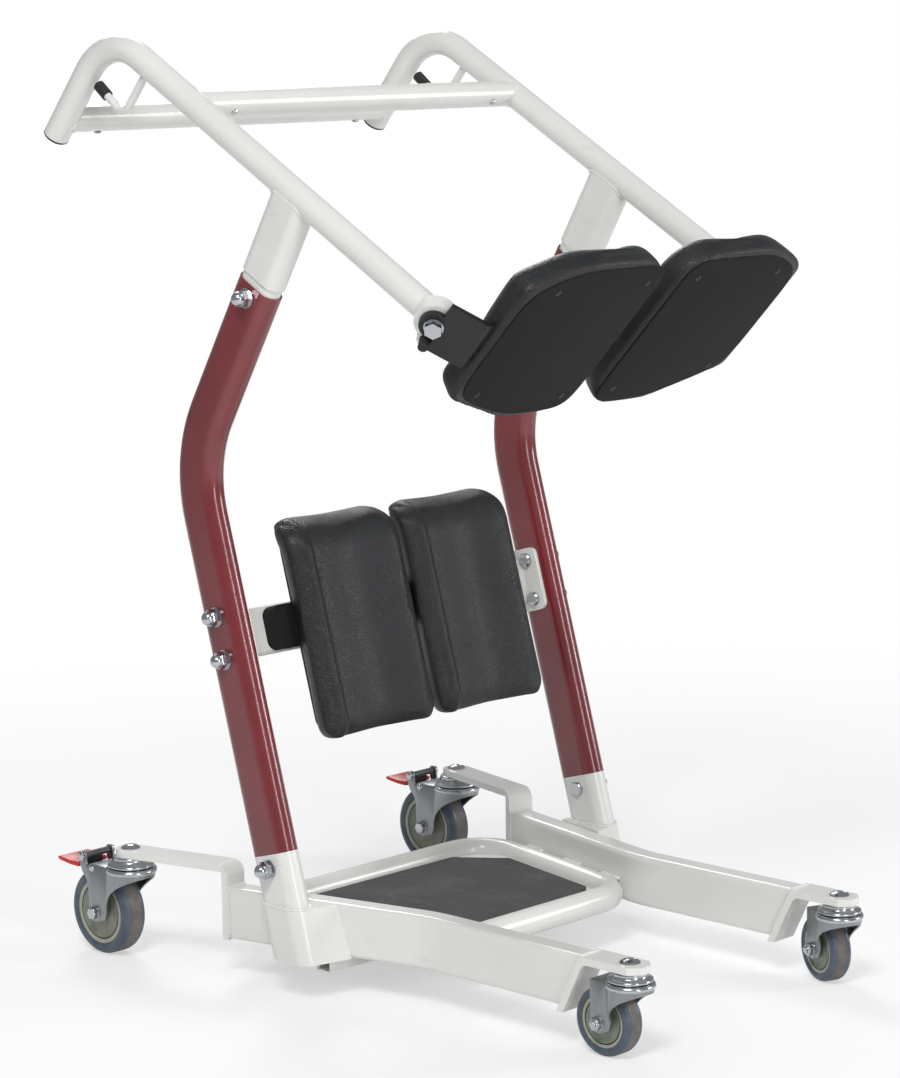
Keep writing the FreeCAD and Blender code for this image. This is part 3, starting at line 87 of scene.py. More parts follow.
class Finish:
    """A surface finish, built up from nodes around one shader."""

    def __init__(self, name, **constants):
        self.material = bpy.data.materials.new(name)
        self.material.use_nodes = True
        self.tree = self.material.node_tree
        self.shader = self.tree.nodes["Principled BSDF"]
        self.place = self.node("TexCoord", out="Object")
        for socket, constant in constants.items():
            label = socket.replace("_", " ").title().replace("Ior", "IOR")
            self.shader.inputs[label].default_value = constant

    def node(self, kind, inputs=None, out=0, **settings):
        """Any node: its type, its settings first, then what its sockets are given."""
        made = self.tree.nodes.new("ShaderNode" + kind)
        for name, setting in settings.items():
            setattr(made, name, setting)
        for name, given in (inputs or {}).items():
            self.give(made.inputs[name], given)
        return Link(self, made.outputs[out])

    def give(self, socket, given):
        if isinstance(given, Link):
            self.tree.links.new(given.socket, socket)
        elif socket.type == "RGBA":
            socket.default_value = (*given, 1.0)
        else:
            socket.default_value = given

    def put(self, socket, given):
        self.give(self.shader.inputs[socket], given)

    def stretched(self, x, y, z):
        return self.node("Mapping", {"Vector": self.place, "Scale": (x, y, z)}, out="Vector")

    def noise(self, scale, detail=3.0, at=None):
        inputs = {"Vector": at or self.place, "Scale": scale, "Detail": detail}
        return self.node("TexNoise", inputs, out="Fac")

    def step(self, value, low, high):
        inputs = {"Value": value, "From Min": low, "From Max": high}
        return self.node("MapRange", inputs, interpolation_type="SMOOTHSTEP")

    def blend(self, mask, first, second):
        inputs = {0: mask, 6: first, 7: second}
        return self.node("Mix", inputs, out=2, data_type="RGBA")

    def bump(self, height, strength, depth):
        inputs = {"Height": height, "Strength": strength, "Distance": depth}
        self.put("Normal", self.node("Bump", inputs, out="Normal"))


def powder_coat(name, clean, dull, roughness, coat):
    """Baked powder coat: slow drifts of tone, an orange peel, and a few dull rubs."""
    finish = Finish(name, coat_weight=coat, coat_roughness=0.12)
    drift = finish.noise(7.0)
    rubs = finish.step(finish.noise(38.0, 6.0, finish.stretched(1.0, 0.35, 1.6)), 0.62, 0.74)
    shade = finish.blend(finish.step(drift, 0.3, 0.7), clean, dull)
    finish.put("Base Color", finish.blend(rubs * 0.35, shade, [0.86 * c for c in dull]))
    finish.put("Roughness", roughness + drift * 0.08 + rubs * 0.12)
    finish.bump(finish.noise(620.0, 1.0) + finish.noise(90.0, 2.0) * 0.6, 0.09, 0.0004)
    return finish


def dress(finish, *names):
    """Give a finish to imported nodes."""
    for name in names:
        mesh = nodes[name].data
        mesh.materials.clear()
        mesh.materials.append(finish.material)


def sides(*names):
    return [side + name for name in names for side in ("left_", "right_")]


white = powder_coat("white_powder_coat", (0.765, 0.77, 0.735), (0.73, 0.735, 0.70), 0.26, 0.35)
dress(white, *sides("leg", "rear_arm", "front_arm"))


def settle(mesh, name, finish, body, edge=None):
    """A finished piece from a bmesh: soft shaded but for its crisp edges, riding a body."""
    made = bpy.data.meshes.new(name)
    mesh.to_mesh(made)
    mesh.free()
    made.materials.append(finish.material)
    made.shade_smooth()
    if edge is not None:
        made.set_sharp_from_angle(angle=math.radians(edge))
    piece = bpy.data.objects.new(name, made)
    bpy.context.scene.collection.objects.link(piece)
    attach(piece, body)
    return piece


def spaced(points, pitch, closed):
    """Points an even pitch apart along a line through the given ones."""
    line = [Vector(point) for point in points]
    if closed:
        line.append(line[0])
    out = []
    carry = 0.0
    for start, end in zip(line, line[1:]):
        length = (end - start).length
        while carry < length:
            out.append(start.lerp(end, carry / length))
            carry += pitch
        carry -= length
    return out


random.seed(4)
ARM_BEAD, FOOTPLATE_BEAD, SOCKET_BEAD = 2.3 * MM, 2.6 * MM, 2.2 * MM
RING_BEAD, NECK_BEAD, STUB_BEAD = 1.7 * MM, 2.0 * MM, 1.9 * MM
DROP_PITCH, DROP_FLAT, DROP_SPREAD = 0.95, 0.86, 0.14


def weld(name, lines, bead, closed=False):
    """A hand laid seam: overlapping drops of metal along each line, under the coat."""
    mesh = bmesh.new()
    for line in lines:
        for point in spaced(line, bead * DROP_PITCH, closed):
            size = bead * random.uniform(1 - DROP_SPREAD, 1 + DROP_SPREAD)
            drop = Matrix.Translation(point) @ Matrix.Diagonal((size, size, size * DROP_FLAT, 1.0))
            bmesh.ops.create_icosphere(mesh, subdivisions=2, radius=1.0, matrix=drop)
    return settle(mesh, name, white, "frame")


def both(points):
    """The same line on the right and mirrored on the left."""
    return [points, [(-x, y, z) for x, y, z in points]]


leg_low, leg_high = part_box("right_leg")
LEG_X = 176 * MM
LEG_SPLAY = math.radians(13.4)
LEG_BEND_Y = -104 * MM
LEG_HALF = 15 * MM
LEG_CORNER, SEAM_TAIL = 2 * MM, 6 * MM
front_seam = [(LEG_X - LEG_HALF, leg_low.y, leg_high.z - SEAM_TAIL),
              (LEG_X - LEG_HALF + LEG_CORNER, leg_low.y, leg_high.z),
              (LEG_X + LEG_HALF - LEG_CORNER, leg_low.y, leg_high.z),
              (LEG_X + LEG_HALF, leg_low.y, leg_high.z - SEAM_TAIL)]


def beside_leg(along, out, height):
    """A point by the splayed run: along it from the bend, out from its middle."""
    return (LEG_X + math.sin(LEG_SPLAY) * along + math.cos(LEG_SPLAY) * out,
            LEG_BEND_Y + math.cos(LEG_SPLAY) * along - math.sin(LEG_SPLAY) * out, height)


LEG_REAR_RUN = 259 * MM
SEAM_LOW, SEAM_HIGH = leg_low.z + 4 * MM, leg_high.z - 1 * MM
rear_seam = [beside_leg(LEG_REAR_RUN, out, height)
             for out, height in ((-LEG_HALF, SEAM_LOW), (-LEG_HALF, SEAM_HIGH),
                                 (LEG_HALF, SEAM_HIGH), (LEG_HALF, SEAM_LOW))]
weld("caster_arm_welds", both(front_seam) + both(rear_seam), ARM_BEAD)

# The footplate: a bent tube loop between the legs with a sheet welded in, all coated
# with the base, and a dark ribbed mat with clipped corners glued on the sheet.

dress(white, "footplate_ring", "footplate_plate", "base_cross_tube")
ring_low, ring_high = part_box("footplate_ring")
RING_HALF = 15 * MM
ring_middle = (ring_low.z + ring_high.z) / 2
STITCH_STARTS, STITCH_LENGTH = (30 * MM, 110 * MM, 190 * MM), 32 * MM
STITCH_OUT = -LEG_HALF - 1.5 * MM
STITCH_TOP = ring_middle + RING_HALF * 0.72
stitches = []
for start in STITCH_STARTS:
    stitches += both([beside_leg(start + run, STITCH_OUT, STITCH_TOP)
                      for run in (0, STITCH_LENGTH)])
weld("footplate_welds", stitches, FOOTPLATE_BEAD)
RING_JOINT_X, RING_JOINT_STEPS = -128 * MM, 36
ring_joint = [(RING_JOINT_X, ring_high.y - RING_HALF + RING_HALF * math.cos(turn),
               ring_middle + RING_HALF * math.sin(turn))
              for turn in [math.tau * step / RING_JOINT_STEPS for step in range(RING_JOINT_STEPS)]]
weld("ring_joint_weld", [ring_joint], RING_BEAD, closed=True)

mat = Finish("ribbed_mat", specular_ior_level=0.3)


def mat_wave(direction):
    """One set of the mat's fine ribs."""
    inputs = {"Vector": mat.place, "Scale": 95.0, "Distortion": 0.4, "Detail": 1.0}
    return mat.node("TexWave", inputs, out="Fac", wave_type="BANDS", bands_direction=direction)


ribs, cross = mat_wave("Y"), mat_wave("X")
worn = mat.noise(16.0, 5.0)
scuffs = mat.step(mat.noise(60.0, 6.0, mat.stretched(2.2, 0.5, 1.0)), 0.60, 0.75)
mat.put("Base Color", mat.blend(mat.step(worn + scuffs * 0.3, 0.35, 0.85), (0.048, 0.048, 0.05),
                                (0.083, 0.083, 0.085)))
mat.put("Roughness", 0.72 + worn * 0.12 - scuffs * 0.1)
mat.bump(ribs * cross + mat.noise(900.0, 2.0) * 0.3, 0.55, 0.0008)
dress(mat, "footplate_tread")

# Mast sockets: oval sleeves over a shoe and a gusset, welded to the outer face of the
# legs. The seam round the sleeve's foot shows as a soft rope of metal under the coat.

dress(white, *sides("mast_socket"))
surfaces = {}


def surface(name):
    """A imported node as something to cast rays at."""
    if name not in surfaces:
        mesh = nodes[name].data
        mesh.calc_loop_triangles()
        surfaces[name] = BVHTree.FromPolygons([v.co for v in mesh.vertices],
                                              [t.vertices for t in mesh.loop_triangles])
    return surfaces[name]


def landing(onto, start, direction, reach=0.12):
    """Where a line from start first meets one of the nodes, or None."""
    hits = [surface(name).ray_cast(start, direction, reach) for name in onto]
    hits = [hit for hit in hits if hit[0] is not None]
    return min(hits, key=lambda hit: hit[3])[0] if hits else None


def oval_ring(depth, width, count=72):
    """Points round a flat oval that is long in Y."""
    half, rise = width / 2, (depth - width) / 2
    out = []
    for step in range(count):
        turn = math.tau * step / count
        shift = math.copysign(rise, math.sin(turn))
        out.append((half * math.cos(turn), shift + half * math.sin(turn), 0.0))
    return out


MAST_LEAN = math.radians(15.6)
UPPER_LEAN = math.radians(30.5)
MAST_X = 254 * MM
MAST_FOOT_Y = 27.7 * MM
MAST_DEPTH, MAST_WIDTH = 58 * MM, 30 * MM
SOCKET_SEAM_START, SOCKET_CLEAR = 85 * MM, 1.6 * MM
mast_foot = (Matrix.Translation((MAST_X, MAST_FOOT_Y, leg_low.z))
             @ Matrix.Rotation(-MAST_LEAN, 4, "X"))
seam_start = mast_foot @ Matrix.Translation((0, 0, SOCKET_SEAM_START))
down = mast_foot.to_3x3() @ Vector((0, 0, -1))
foot_ring = [landing(["right_mast_socket", "right_leg"], seam_start @ Vector(point), down)
             for point in oval_ring(MAST_DEPTH + SOCKET_CLEAR, MAST_WIDTH + SOCKET_CLEAR)]
foot_ring = [tuple(point) for point in foot_ring if point is not None]
weld("socket_foot_welds", both(foot_ring), SOCKET_BEAD, closed=True)

# Masts: oval tube with one knee, coated a deep glossy maroon. The swaged foot slips
# into its socket and a bolt goes through both.

maroon = powder_coat("maroon_powder_coat", (0.190, 0.021, 0.026), (0.140, 0.014, 0.018), 0.22, 0.6)
dress(maroon, *sides("mast"))

# Mast necks, handle tubes, cross bars and bag hooks: round and oval tube in the same
# white. Necks and stubs are coped and welded round; the bars slip in and are screwed.

dress(white, *sides("mast_neck", "handle_tube"), "crossbar_stubs", "front_crossbar",
      "rear_crossbar", "bag_hooks")
TUBE = 30 * MM
MAST_LOWER_RUN, NECK_SEAM_START = 565 * MM, 290 * MM
NECK_DEEPER, NECK_NARROWER = 1.2 * MM, 3 * MM
mast_head = (mast_foot @ Matrix.Translation((0, 0, MAST_LOWER_RUN))
             @ Matrix.Rotation(MAST_LEAN + UPPER_LEAN, 4, "X")
             @ Matrix.Translation((0, 0, NECK_SEAM_START)))
up = mast_head.to_3x3() @ Vector((0, 0, 1))
neck_ring = [landing(["right_handle_tube"], mast_head @ Vector(point), up)
             for point in oval_ring(MAST_DEPTH + NECK_DEEPER, MAST_WIDTH - NECK_NARROWER, 96)]
neck_ring = [tuple(point) for point in neck_ring if point is not None]
weld("neck_welds", both(neck_ring), NECK_BEAD, closed=True)
BAR_SEAM_START, BAR_SEAM_STEPS, BAR_SEAM_RADIUS = 60 * MM, 48, TUBE / 2 - 0.4 * MM


def bar_ring(bar):
    """The seam where a cross bar's stub meets the handle tube."""
    low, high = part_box(bar)
    middle = Vector((MAST_X - BAR_SEAM_START, (low.y + high.y) / 2, (low.z + high.z) / 2))
    hits = []
    for step in range(BAR_SEAM_STEPS):
        turn = math.tau * step / BAR_SEAM_STEPS
        around = Vector((0, math.cos(turn), math.sin(turn))) * BAR_SEAM_RADIUS
        hits.append(landing(["right_handle_tube"], middle + around, Vector((1, 0, 0))))
    return [tuple(hit) for hit in hits if hit is not None]


weld("stub_welds", both(bar_ring("front_crossbar")) + both(bar_ring("rear_crossbar")), STUB_BEAD,
     closed=True)
rubber = Finish("black_rubber", specular_ior_level=0.35)
haze = rubber.noise(55.0, 4.0)
rubber.put("Base Color", rubber.blend(haze, (0.012, 0.012, 0.013), (0.028, 0.028, 0.03)))
rubber.put("Roughness", 0.5 + haze * 0.25)
rubber.bump(rubber.noise(800.0, 2.0), 0.2, 0.0003)
dress(rubber, "handle_end_caps", "hook_caps", "seat_stop_pins")

# Fasteners: zinc plated button heads, plain washers and domed nuts. Bright, with a
# faint blue cast and the fine turning marks of plated steel.


def plated(name, shade, roughness, grain, depth):
    """Zinc plate on steel: cloudy, a little blue, with a fine drawn grain."""
    finish = Finish(name, metallic=1.0)
    cloud = finish.noise(45.0, 4.0)
    spangle = finish.node("TexVoronoi", {"Vector": finish.place, "Scale": 260.0}, out="Color")
    fleck = finish.node("SeparateColor", {"Color": spangle}, out=0)
    tone = finish.blend(cloud, [0.82 * c for c in shade], shade)
    finish.put("Base Color", finish.blend(fleck * 0.18, tone, [1.12 * c for c in shade]))
    finish.put("Roughness", roughness + cloud * 0.12 + fleck * 0.05)
    finish.bump(finish.noise(grain, 3.0, finish.stretched(1.0, 1.0, 0.25)), 0.25, depth)
    return finish


chrome = plated("bright_plate", (0.56, 0.58, 0.61), 0.12, 500.0, 0.0001)
zinc = plated("satin_zinc", (0.33, 0.35, 0.36), 0.27, 700.0, 0.0003)
dress(chrome, "mast_bolts", "acorn_nuts", "bolt_washers", "crossbar_screws", "seat_pivot_bolts")

# Knee bar: rectangular tube with bolted end plates in white, and a black block in front
# of it that carries the two pad boards.

dress(white, "knee_bar", "knee_bar_plates")
board_cloth = Finish("black_board_cover", specular_ior_level=0.14)
mottle = board_cloth.noise(24.0, 5.0)
weave = board_cloth.noise(1300.0, 2.0)
board_cloth.put("Base Color", board_cloth.blend(mottle, (0.011, 0.0115, 0.012),
                                                (0.019, 0.0195, 0.020)))
board_cloth.put("Roughness", 0.66 + mottle * 0.16)
board_cloth.bump(weave + mottle * 0.8, 0.22, 0.0005)
dress(board_cloth, "knee_pad_boards")

# Knee pads and seat cushions: foam under grained charcoal vinyl. Each starts as its
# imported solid, drawn in a little, is meshed anew, softened, and then blown up as cloth.

vinyl = Finish("charcoal_vinyl", specular_ior_level=0.42)
pebble = vinyl.node("TexVoronoi", {"Vector": vinyl.place, "Scale": 760.0}, out="Distance",
                    feature="SMOOTH_F1")
crackle = vinyl.node("TexVoronoi", {"Vector": vinyl.place, "Scale": 380.0}, out="Distance",
                     feature="DISTANCE_TO_EDGE")
handled = vinyl.noise(9.0, 3.0)
vinyl.put("Base Color", vinyl.blend(vinyl.step(handled + pebble * 0.3, 0.3, 0.9),
                                    (0.0075, 0.0085, 0.0095), (0.0145, 0.0160, 0.0175)))
vinyl.put("Roughness", 0.30 + handled * 0.06 + pebble * 0.14)
vinyl.bump(vinyl.step(crackle, 0.0, 0.16) * 0.8 + pebble * 0.7 + handled * 0.2, 0.5, 0.0006)


def relaxed(mesh, rounds, depth=True):
    """Smooth a mesh some rounds, in its own plane only where depth is False."""
    for _ in range(rounds):
        bmesh.ops.smooth_vert(mesh, verts=mesh.verts, factor=0.5, use_axis_x=True,
                              use_axis_y=True, use_axis_z=depth)


def flattened(mesh, rounds):
    """Round an outline in its own plane, and stretch it back to its size."""
    def extents():
        return [(min(v.co[axis] for v in mesh.verts), max(v.co[axis] for v in mesh.verts))
                for axis in (0, 1)]

    before = extents()
    relaxed(mesh, rounds, depth=False)
    after = extents()
    for vert in mesh.verts:
        for axis, (was, now) in enumerate(zip(before, after)):
            share = (vert.co[axis] - now[0]) / (now[1] - now[0])
            vert.co[axis] = was[0] + share * (was[1] - was[0])


def softened(names, place, voxel, draw_in, rounds, flat_rounds=0):
    """Solids in their own frame, drawn in, voxel meshed as one and smoothed."""
    mesh = bmesh.new()
    for name in names:
        mesh.from_mesh(nodes[name].data)
    bmesh.ops.remove_doubles(mesh, verts=mesh.verts, dist=0.02 * MM)
    bmesh.ops.transform(mesh, matrix=place.inverted(), verts=mesh.verts)
    bmesh.ops.recalc_face_normals(mesh, faces=mesh.faces)
    low = Vector([min(v.co[axis] for v in mesh.verts) for axis in range(3)])
    high = Vector([max(v.co[axis] for v in mesh.verts) for axis in range(3)])
    middle, size = (low + high) / 2, high - low
    scale = [1 - 2 * draw / length for draw, length in zip(draw_in, size)]
    for vert in mesh.verts:
        vert.co = middle + Vector([s * d for s, d in zip(scale, vert.co - middle)])
    raw = bpy.data.meshes.new(names[0] + "_raw")
    mesh.to_mesh(raw)
    mesh.free()
    piece = bpy.data.objects.new(names[0] + "_raw", raw)
    bpy.context.scene.collection.objects.link(piece)
    remesh = piece.modifiers.new("Remesh", "REMESH")
    remesh.mode = "VOXEL"
    remesh.voxel_size = voxel
    bpy.context.view_layer.update()
    shaped = bpy.data.meshes.new_from_object(piece.evaluated_get(
        bpy.context.evaluated_depsgraph_get()))
    piece.modifiers.clear()
    mesh = bmesh.new()
    mesh.from_mesh(shaped)
    if flat_rounds:
        flattened(mesh, flat_rounds)
    relaxed(mesh, rounds)
    mesh.to_mesh(shaped)
    mesh.free()
    piece.data = shaped
    return piece


def blown(pieces, pressure=4.0, frames=20):
    """Run the pieces as cloth under pressure; gives each one's moved points."""
    scene = bpy.context.scene
    for piece in pieces:
        cloth = piece.modifiers.new("Cloth", "CLOTH")
        cloth.settings.quality = 6
        cloth.settings.mass = 0.3
        cloth.settings.tension_stiffness = 20
        cloth.settings.compression_stiffness = 20
        cloth.settings.shear_stiffness = 10
        cloth.settings.bending_stiffness = 2
        cloth.settings.use_pressure = True
        cloth.settings.uniform_pressure_force = pressure
        cloth.settings.effector_weights.gravity = 0
        cloth.collision_settings.use_collision = False
    for step in range(1, frames + 1):
        scene.frame_set(step)
    depsgraph = bpy.context.evaluated_depsgraph_get()
    moved = [[v.co.copy() for v in piece.evaluated_get(depsgraph).data.vertices]
             for piece in pieces]
    for piece in pieces:
        piece.modifiers.clear()
    scene.frame_set(1)
    return moved


def upholster(side, name, piece, moved, place, cap, loose, shape=None):
    """A finished cushion: the blown points, capped, shaped, divided and put in place.

    The two knee pads are alike, and the left seat cushion mirrors the right one.
    """
    mesh = bmesh.new()
    mesh.from_mesh(piece.data)
    for vert, goal in zip(mesh.verts, moved):
        step = goal - vert.co
        step *= min(1.0, cap / max(step.length, 1e-6)) * loose(vert.co)
        vert.co += step
        if shape:
            vert.co = shape(vert.co)
    bmesh.ops.subdivide_edges(mesh, edges=mesh.edges, cuts=1, use_grid_fill=True, smooth=0.4)
    relaxed(mesh, 1)
    alike = name == "knee_pad"
    if alike and side == "left":
        bmesh.ops.translate(mesh, vec=(-PAD_IN - PAD_OUT, 0, 0), verts=mesh.verts)
    bmesh.ops.transform(mesh, matrix=place, verts=mesh.verts)
    if side == "left" and not alike:
        bmesh.ops.scale(mesh, vec=(-1, 1, 1), verts=mesh.verts)
    bmesh.ops.recalc_face_normals(mesh, faces=mesh.faces)
    node = side + "_" + name
    body = "frame" if alike else node.replace("_cushion", "")
    made = settle(mesh, node + "_cover", vinyl, body)
    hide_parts(node)


bar_low, bar_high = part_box("knee_bar")
BAR_MIDDLE = 21.5 * MM
knee = (Matrix.Translation((bar_low + bar_high) / 2) @ Matrix.Rotation(-MAST_LEAN, 4, "X")
        @ Matrix.Translation((0, -BAR_MIDDLE, 0)))
PAD_FRONT, PAD_VALLEY, PAD_HOLLOW, PAD_BACK = -52 * MM, -42 * MM, -37 * MM, -14 * MM
PAD_IN, PAD_OUT, PAD_LOW, PAD_TOP = 2 * MM, 180 * MM, -138 * MM, 127 * MM
ROLL_OUTER, ROLL_INNER, PAD_END_ROUND = 19 * MM, 10 * MM, 15 * MM
LIP_ROUND, LIP_LOSS = 16 * MM, 3.5 * MM
PAD_TOP_CORNER, PAD_LOW_CORNER = 36 * MM, 20 * MM
PAD_CURL_START, PAD_CURL, PAD_CURL_DROP = 72 * MM, 25 * MM, 4 * MM
PAD_TUCK, PAD_TUCK_DEPTH, PAD_HELD = 0.085, 18 * MM, 12 * MM
PAD_THIN, PAD_STRETCH, PAD_FULL_ENDS = 6 * MM, 1.6, 0.65


def eased(share):
    """A smooth step from 0 to 1."""
    share = min(1.0, max(0.0, share))
    return share * share * (3 - 2 * share)


def knee_form(point, front):
    """A thick roll down one side, a broad hollow, a soft lip, and round corners."""
    x, y, z = point
    centre, middle = (PAD_IN + PAD_OUT) / 2, (PAD_OUT - PAD_IN) / 2
    hollow = PAD_HOLLOW - PAD_FRONT
    if x < centre:
        edge = max(0.0, x - PAD_IN)
        radius = ROLL_OUTER if edge < ROLL_OUTER else ROLL_INNER
        past = min(radius, abs(edge - ROLL_OUTER))
        loss = radius - math.sqrt(radius * radius - past * past)
        valley = ROLL_OUTER + ROLL_INNER
        inward = eased((edge - valley) / (middle - valley))
        floor_loss = PAD_VALLEY - PAD_FRONT + (hollow - PAD_VALLEY + PAD_FRONT) * inward
        if edge > valley:
            loss = floor_loss
    else:
        edge = max(0.0, PAD_OUT - x)
        past = max(0.0, LIP_ROUND - edge)
        loss = LIP_LOSS + LIP_ROUND - math.sqrt(LIP_ROUND ** 2 - past ** 2)
        loss += (hollow - LIP_LOSS) * eased((edge - LIP_ROUND) / (middle - LIP_ROUND))
    end = min(1.0, max(0.0, min(z - PAD_LOW, PAD_TOP - z) / PAD_END_ROUND))
    by_side = 1 - PAD_FULL_ENDS * (1 - eased(edge / ROLL_OUTER))
    loss += by_side * PAD_END_ROUND * (1 - math.sqrt(1 - (1 - end) ** 2))
    share = (PAD_FRONT + loss - PAD_BACK) / min(-PAD_THIN, front - PAD_BACK)
    y = PAD_BACK + (y - PAD_BACK) * min(PAD_STRETCH, share)
    tuck = 1 - PAD_TUCK * eased((y - PAD_BACK + PAD_TUCK_DEPTH) / PAD_TUCK_DEPTH)
    x, z = centre + (x - centre) * tuck, z * (1 + tuck) / 2
    corner = PAD_TOP_CORNER if z > 0 else PAD_LOW_CORNER
    across = max(PAD_IN + corner - x, x - (PAD_OUT - corner))
    along = max(PAD_LOW + corner - z, z - (PAD_TOP - corner))
    if across > 0 and along > 0:
        pull = 1 - max(across, along) / math.hypot(across, along)
        x += pull * across * (1 if x < centre else -1)
        z += pull * along * (1 if z < 0 else -1)
    return Vector((x, y, z))


def formed(piece, form):
    """Bend a raw cover to its form, which is told how far out the front lies."""
    faces = BVHTree.FromPolygons([v.co for v in piece.data.vertices],
                                 [p.vertices for p in piece.data.polygons])
    goals = []
    for vert in piece.data.vertices:
        hit = faces.ray_cast(Vector((vert.co.x, -1, vert.co.z)), Vector((0, 1, 0)))[0]
        goals.append(form(vert.co, hit.y if hit else vert.co.y))
    mesh = bmesh.new()
    mesh.from_mesh(piece.data)
    for vert, goal in zip(mesh.verts, goals):
        vert.co = goal
    relaxed(mesh, 3)
    mesh.to_mesh(piece.data)
    mesh.free()


def knee_curl(point):
    """The pad's top end rolls back, away from the knee."""
    past = max(0.0, (point.z - PAD_CURL_START) / (PAD_TOP - PAD_CURL_START))
    return point + Vector((0, PAD_CURL * past * past, -PAD_CURL_DROP * past * past))


def knee_loose(point):
    """The back lies on its board; the rest of the cover is free."""
    return min(1.0, max(0.0, (PAD_BACK - point.y) / PAD_HELD))


SEAT_TILT = math.radians(45.8)
hinge = joints["right_seat_hinge"]["pos_m"]
seat = Matrix.Translation(hinge) @ Matrix.Rotation(-SEAT_TILT, 4, "X")
SEAT_FOAM_BASE, SEAT_HELD = -46 * MM, 9 * MM


def seat_loose(point):
    """The foam's foot is stapled to the board; its top and sides are free."""
    return min(1.0, max(0.0, (point.z - SEAT_FOAM_BASE) / SEAT_HELD))


KNEE_VOXEL, SEAT_VOXEL = 4 * MM, 4.5 * MM
KNEE_DRAW_IN, SEAT_DRAW_IN = (1 * MM, 0.5 * MM, 1 * MM), (0.5 * MM, 0.5 * MM, 0)
KNEE_PUFF, SEAT_PUFF = 3 * MM, 3.5 * MM
knee_raw = softened(["right_knee_pad"], knee, KNEE_VOXEL, KNEE_DRAW_IN, 3)
formed(knee_raw, knee_form)
seat_raw = softened(["right_seat_cushion", "right_seat_board"], seat, SEAT_VOXEL, SEAT_DRAW_IN,
                    5, flat_rounds=36)
knee_moved, seat_moved = blown([knee_raw, seat_raw])
for side in ("right", "left"):
    upholster(side, "knee_pad", knee_raw, knee_moved, knee, KNEE_PUFF, knee_loose, knee_curl)
    upholster(side, "seat_cushion", seat_raw, seat_moved, seat, SEAT_PUFF, seat_loose)
for raw in (knee_raw, seat_raw):
    bpy.data.objects.remove(raw)

# Seat boards and hinges: plywood under a smooth black cover, four dark screws, and a
# bent steel hinge plate in satin black that turns on a flanged bolt.

black_steel = Finish("satin_black_steel", specular_ior_level=0.45)
sheen = black_steel.noise(60.0, 4.0)
chips = black_steel.step(black_steel.noise(210.0, 5.0), 0.70, 0.74)
black_steel.put("Base Color", black_steel.blend(chips * 0.5, (0.010, 0.010, 0.011),
                                                (0.10, 0.10, 0.10)))
black_steel.put("Roughness", 0.30 + sheen * 0.2)
black_steel.bump(black_steel.noise(700.0, 2.0), 0.2, 0.0003)
dress(black_steel, *sides("seat_hinge"), "seat_pivot_bushes")
dress(board_cloth, *sides("seat_board"))
SEAT_OUTLINE = [(-29, -92), (-95, -122), (-242, -122), (-242, 120), (-139, 120), (-29, 76)]
SEAT_SCREWS = [(-213, -88), (-76, -86), (-212, 88), (-66, 68)]
BASE_DROP, BASE_INSET, BASE_STEP = -54 * MM, 0.93, 4 * MM
BASE_THICK, BASE_EDGE, BASE_ROUNDS, SCREW_SUNK = 1.4 * MM, 1.1 * MM, 64, 1.2 * MM
SCREW_PROFILE = [(0, 1 * MM), (3.6 * MM, 1 * MM), (3.6 * MM, -0.5 * MM), (3 * MM, -1 * MM),
                 (1.7 * MM, -1 * MM), (1.2 * MM, 0), (0, 0.2 * MM)]


def spun(profile, steps=72):
    """A closed turned shape from a half outline of radius and height."""
    mesh = bmesh.new()
    verts = [mesh.verts.new((radius, 0, height)) for radius, height in profile]
    edges = [mesh.edges.new(pair) for pair in zip(verts, verts[1:] + verts[:1])]
    bmesh.ops.spin(mesh, geom=verts + edges, cent=(0, 0, 0), axis=(0, 0, 1),
                   angle=math.tau, steps=steps, use_merge=True)
    bmesh.ops.remove_doubles(mesh, verts=mesh.verts, dist=0.01 * MM)
    bmesh.ops.recalc_face_normals(mesh, faces=mesh.faces)
    return mesh


def moved_by(mesh, place):
    """The same shape, put in its place."""
    bmesh.ops.transform(mesh, matrix=place, verts=mesh.verts)
    return mesh


def joined(*meshes):
    """Several shapes as one bmesh."""
    whole = bmesh.new()
    for mesh in meshes:
        part = bpy.data.meshes.new("part")
        mesh.to_mesh(part)
        mesh.free()
        whole.from_mesh(part)
        bpy.data.meshes.remove(part)
    return whole


def base_cover(side):
    """The smooth cloth under the seat, its edge tucked in a little inside the vinyl's."""
    loop = spaced([(x * MM, v * MM, BASE_DROP) for x, v in SEAT_OUTLINE], BASE_STEP, True)
    for _ in range(BASE_ROUNDS):
        loop = [(before + point * 2 + after) / 4
                for before, point, after in zip(loop[-1:] + loop, loop, loop[1:] + loop[:1])]
    middle = sum(loop, Vector()) / len(loop)
    mesh = bmesh.new()
    face = mesh.faces.new([mesh.verts.new(middle.lerp(point, BASE_INSET)) for point in loop])
    grown = bmesh.ops.extrude_face_region(mesh, geom=[face])
    lower = [g for g in grown["geom"] if isinstance(g, bmesh.types.BMVert)]
    bmesh.ops.translate(mesh, vec=(0, 0, -BASE_THICK), verts=lower)
    rim = [edge for edge in mesh.edges if all(v in lower for v in edge.verts)]
    bmesh.ops.bevel(mesh, geom=rim, offset=BASE_EDGE, affect="EDGES", segments=3, profile=0.5,
                    material=-1)
    bmesh.ops.triangulate(mesh, faces=[f for f in mesh.faces if len(f.verts) > 4])
    bmesh.ops.transform(mesh, matrix=seat, verts=mesh.verts)
    if side == "left":
        bmesh.ops.scale(mesh, vec=(-1, 1, 1), verts=mesh.verts)
    bmesh.ops.recalc_face_normals(mesh, faces=mesh.faces)
    made = settle(mesh, side + "_seat_base_cover", board_cloth, side + "_seat", 50)
    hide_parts(side + "_seat_board")


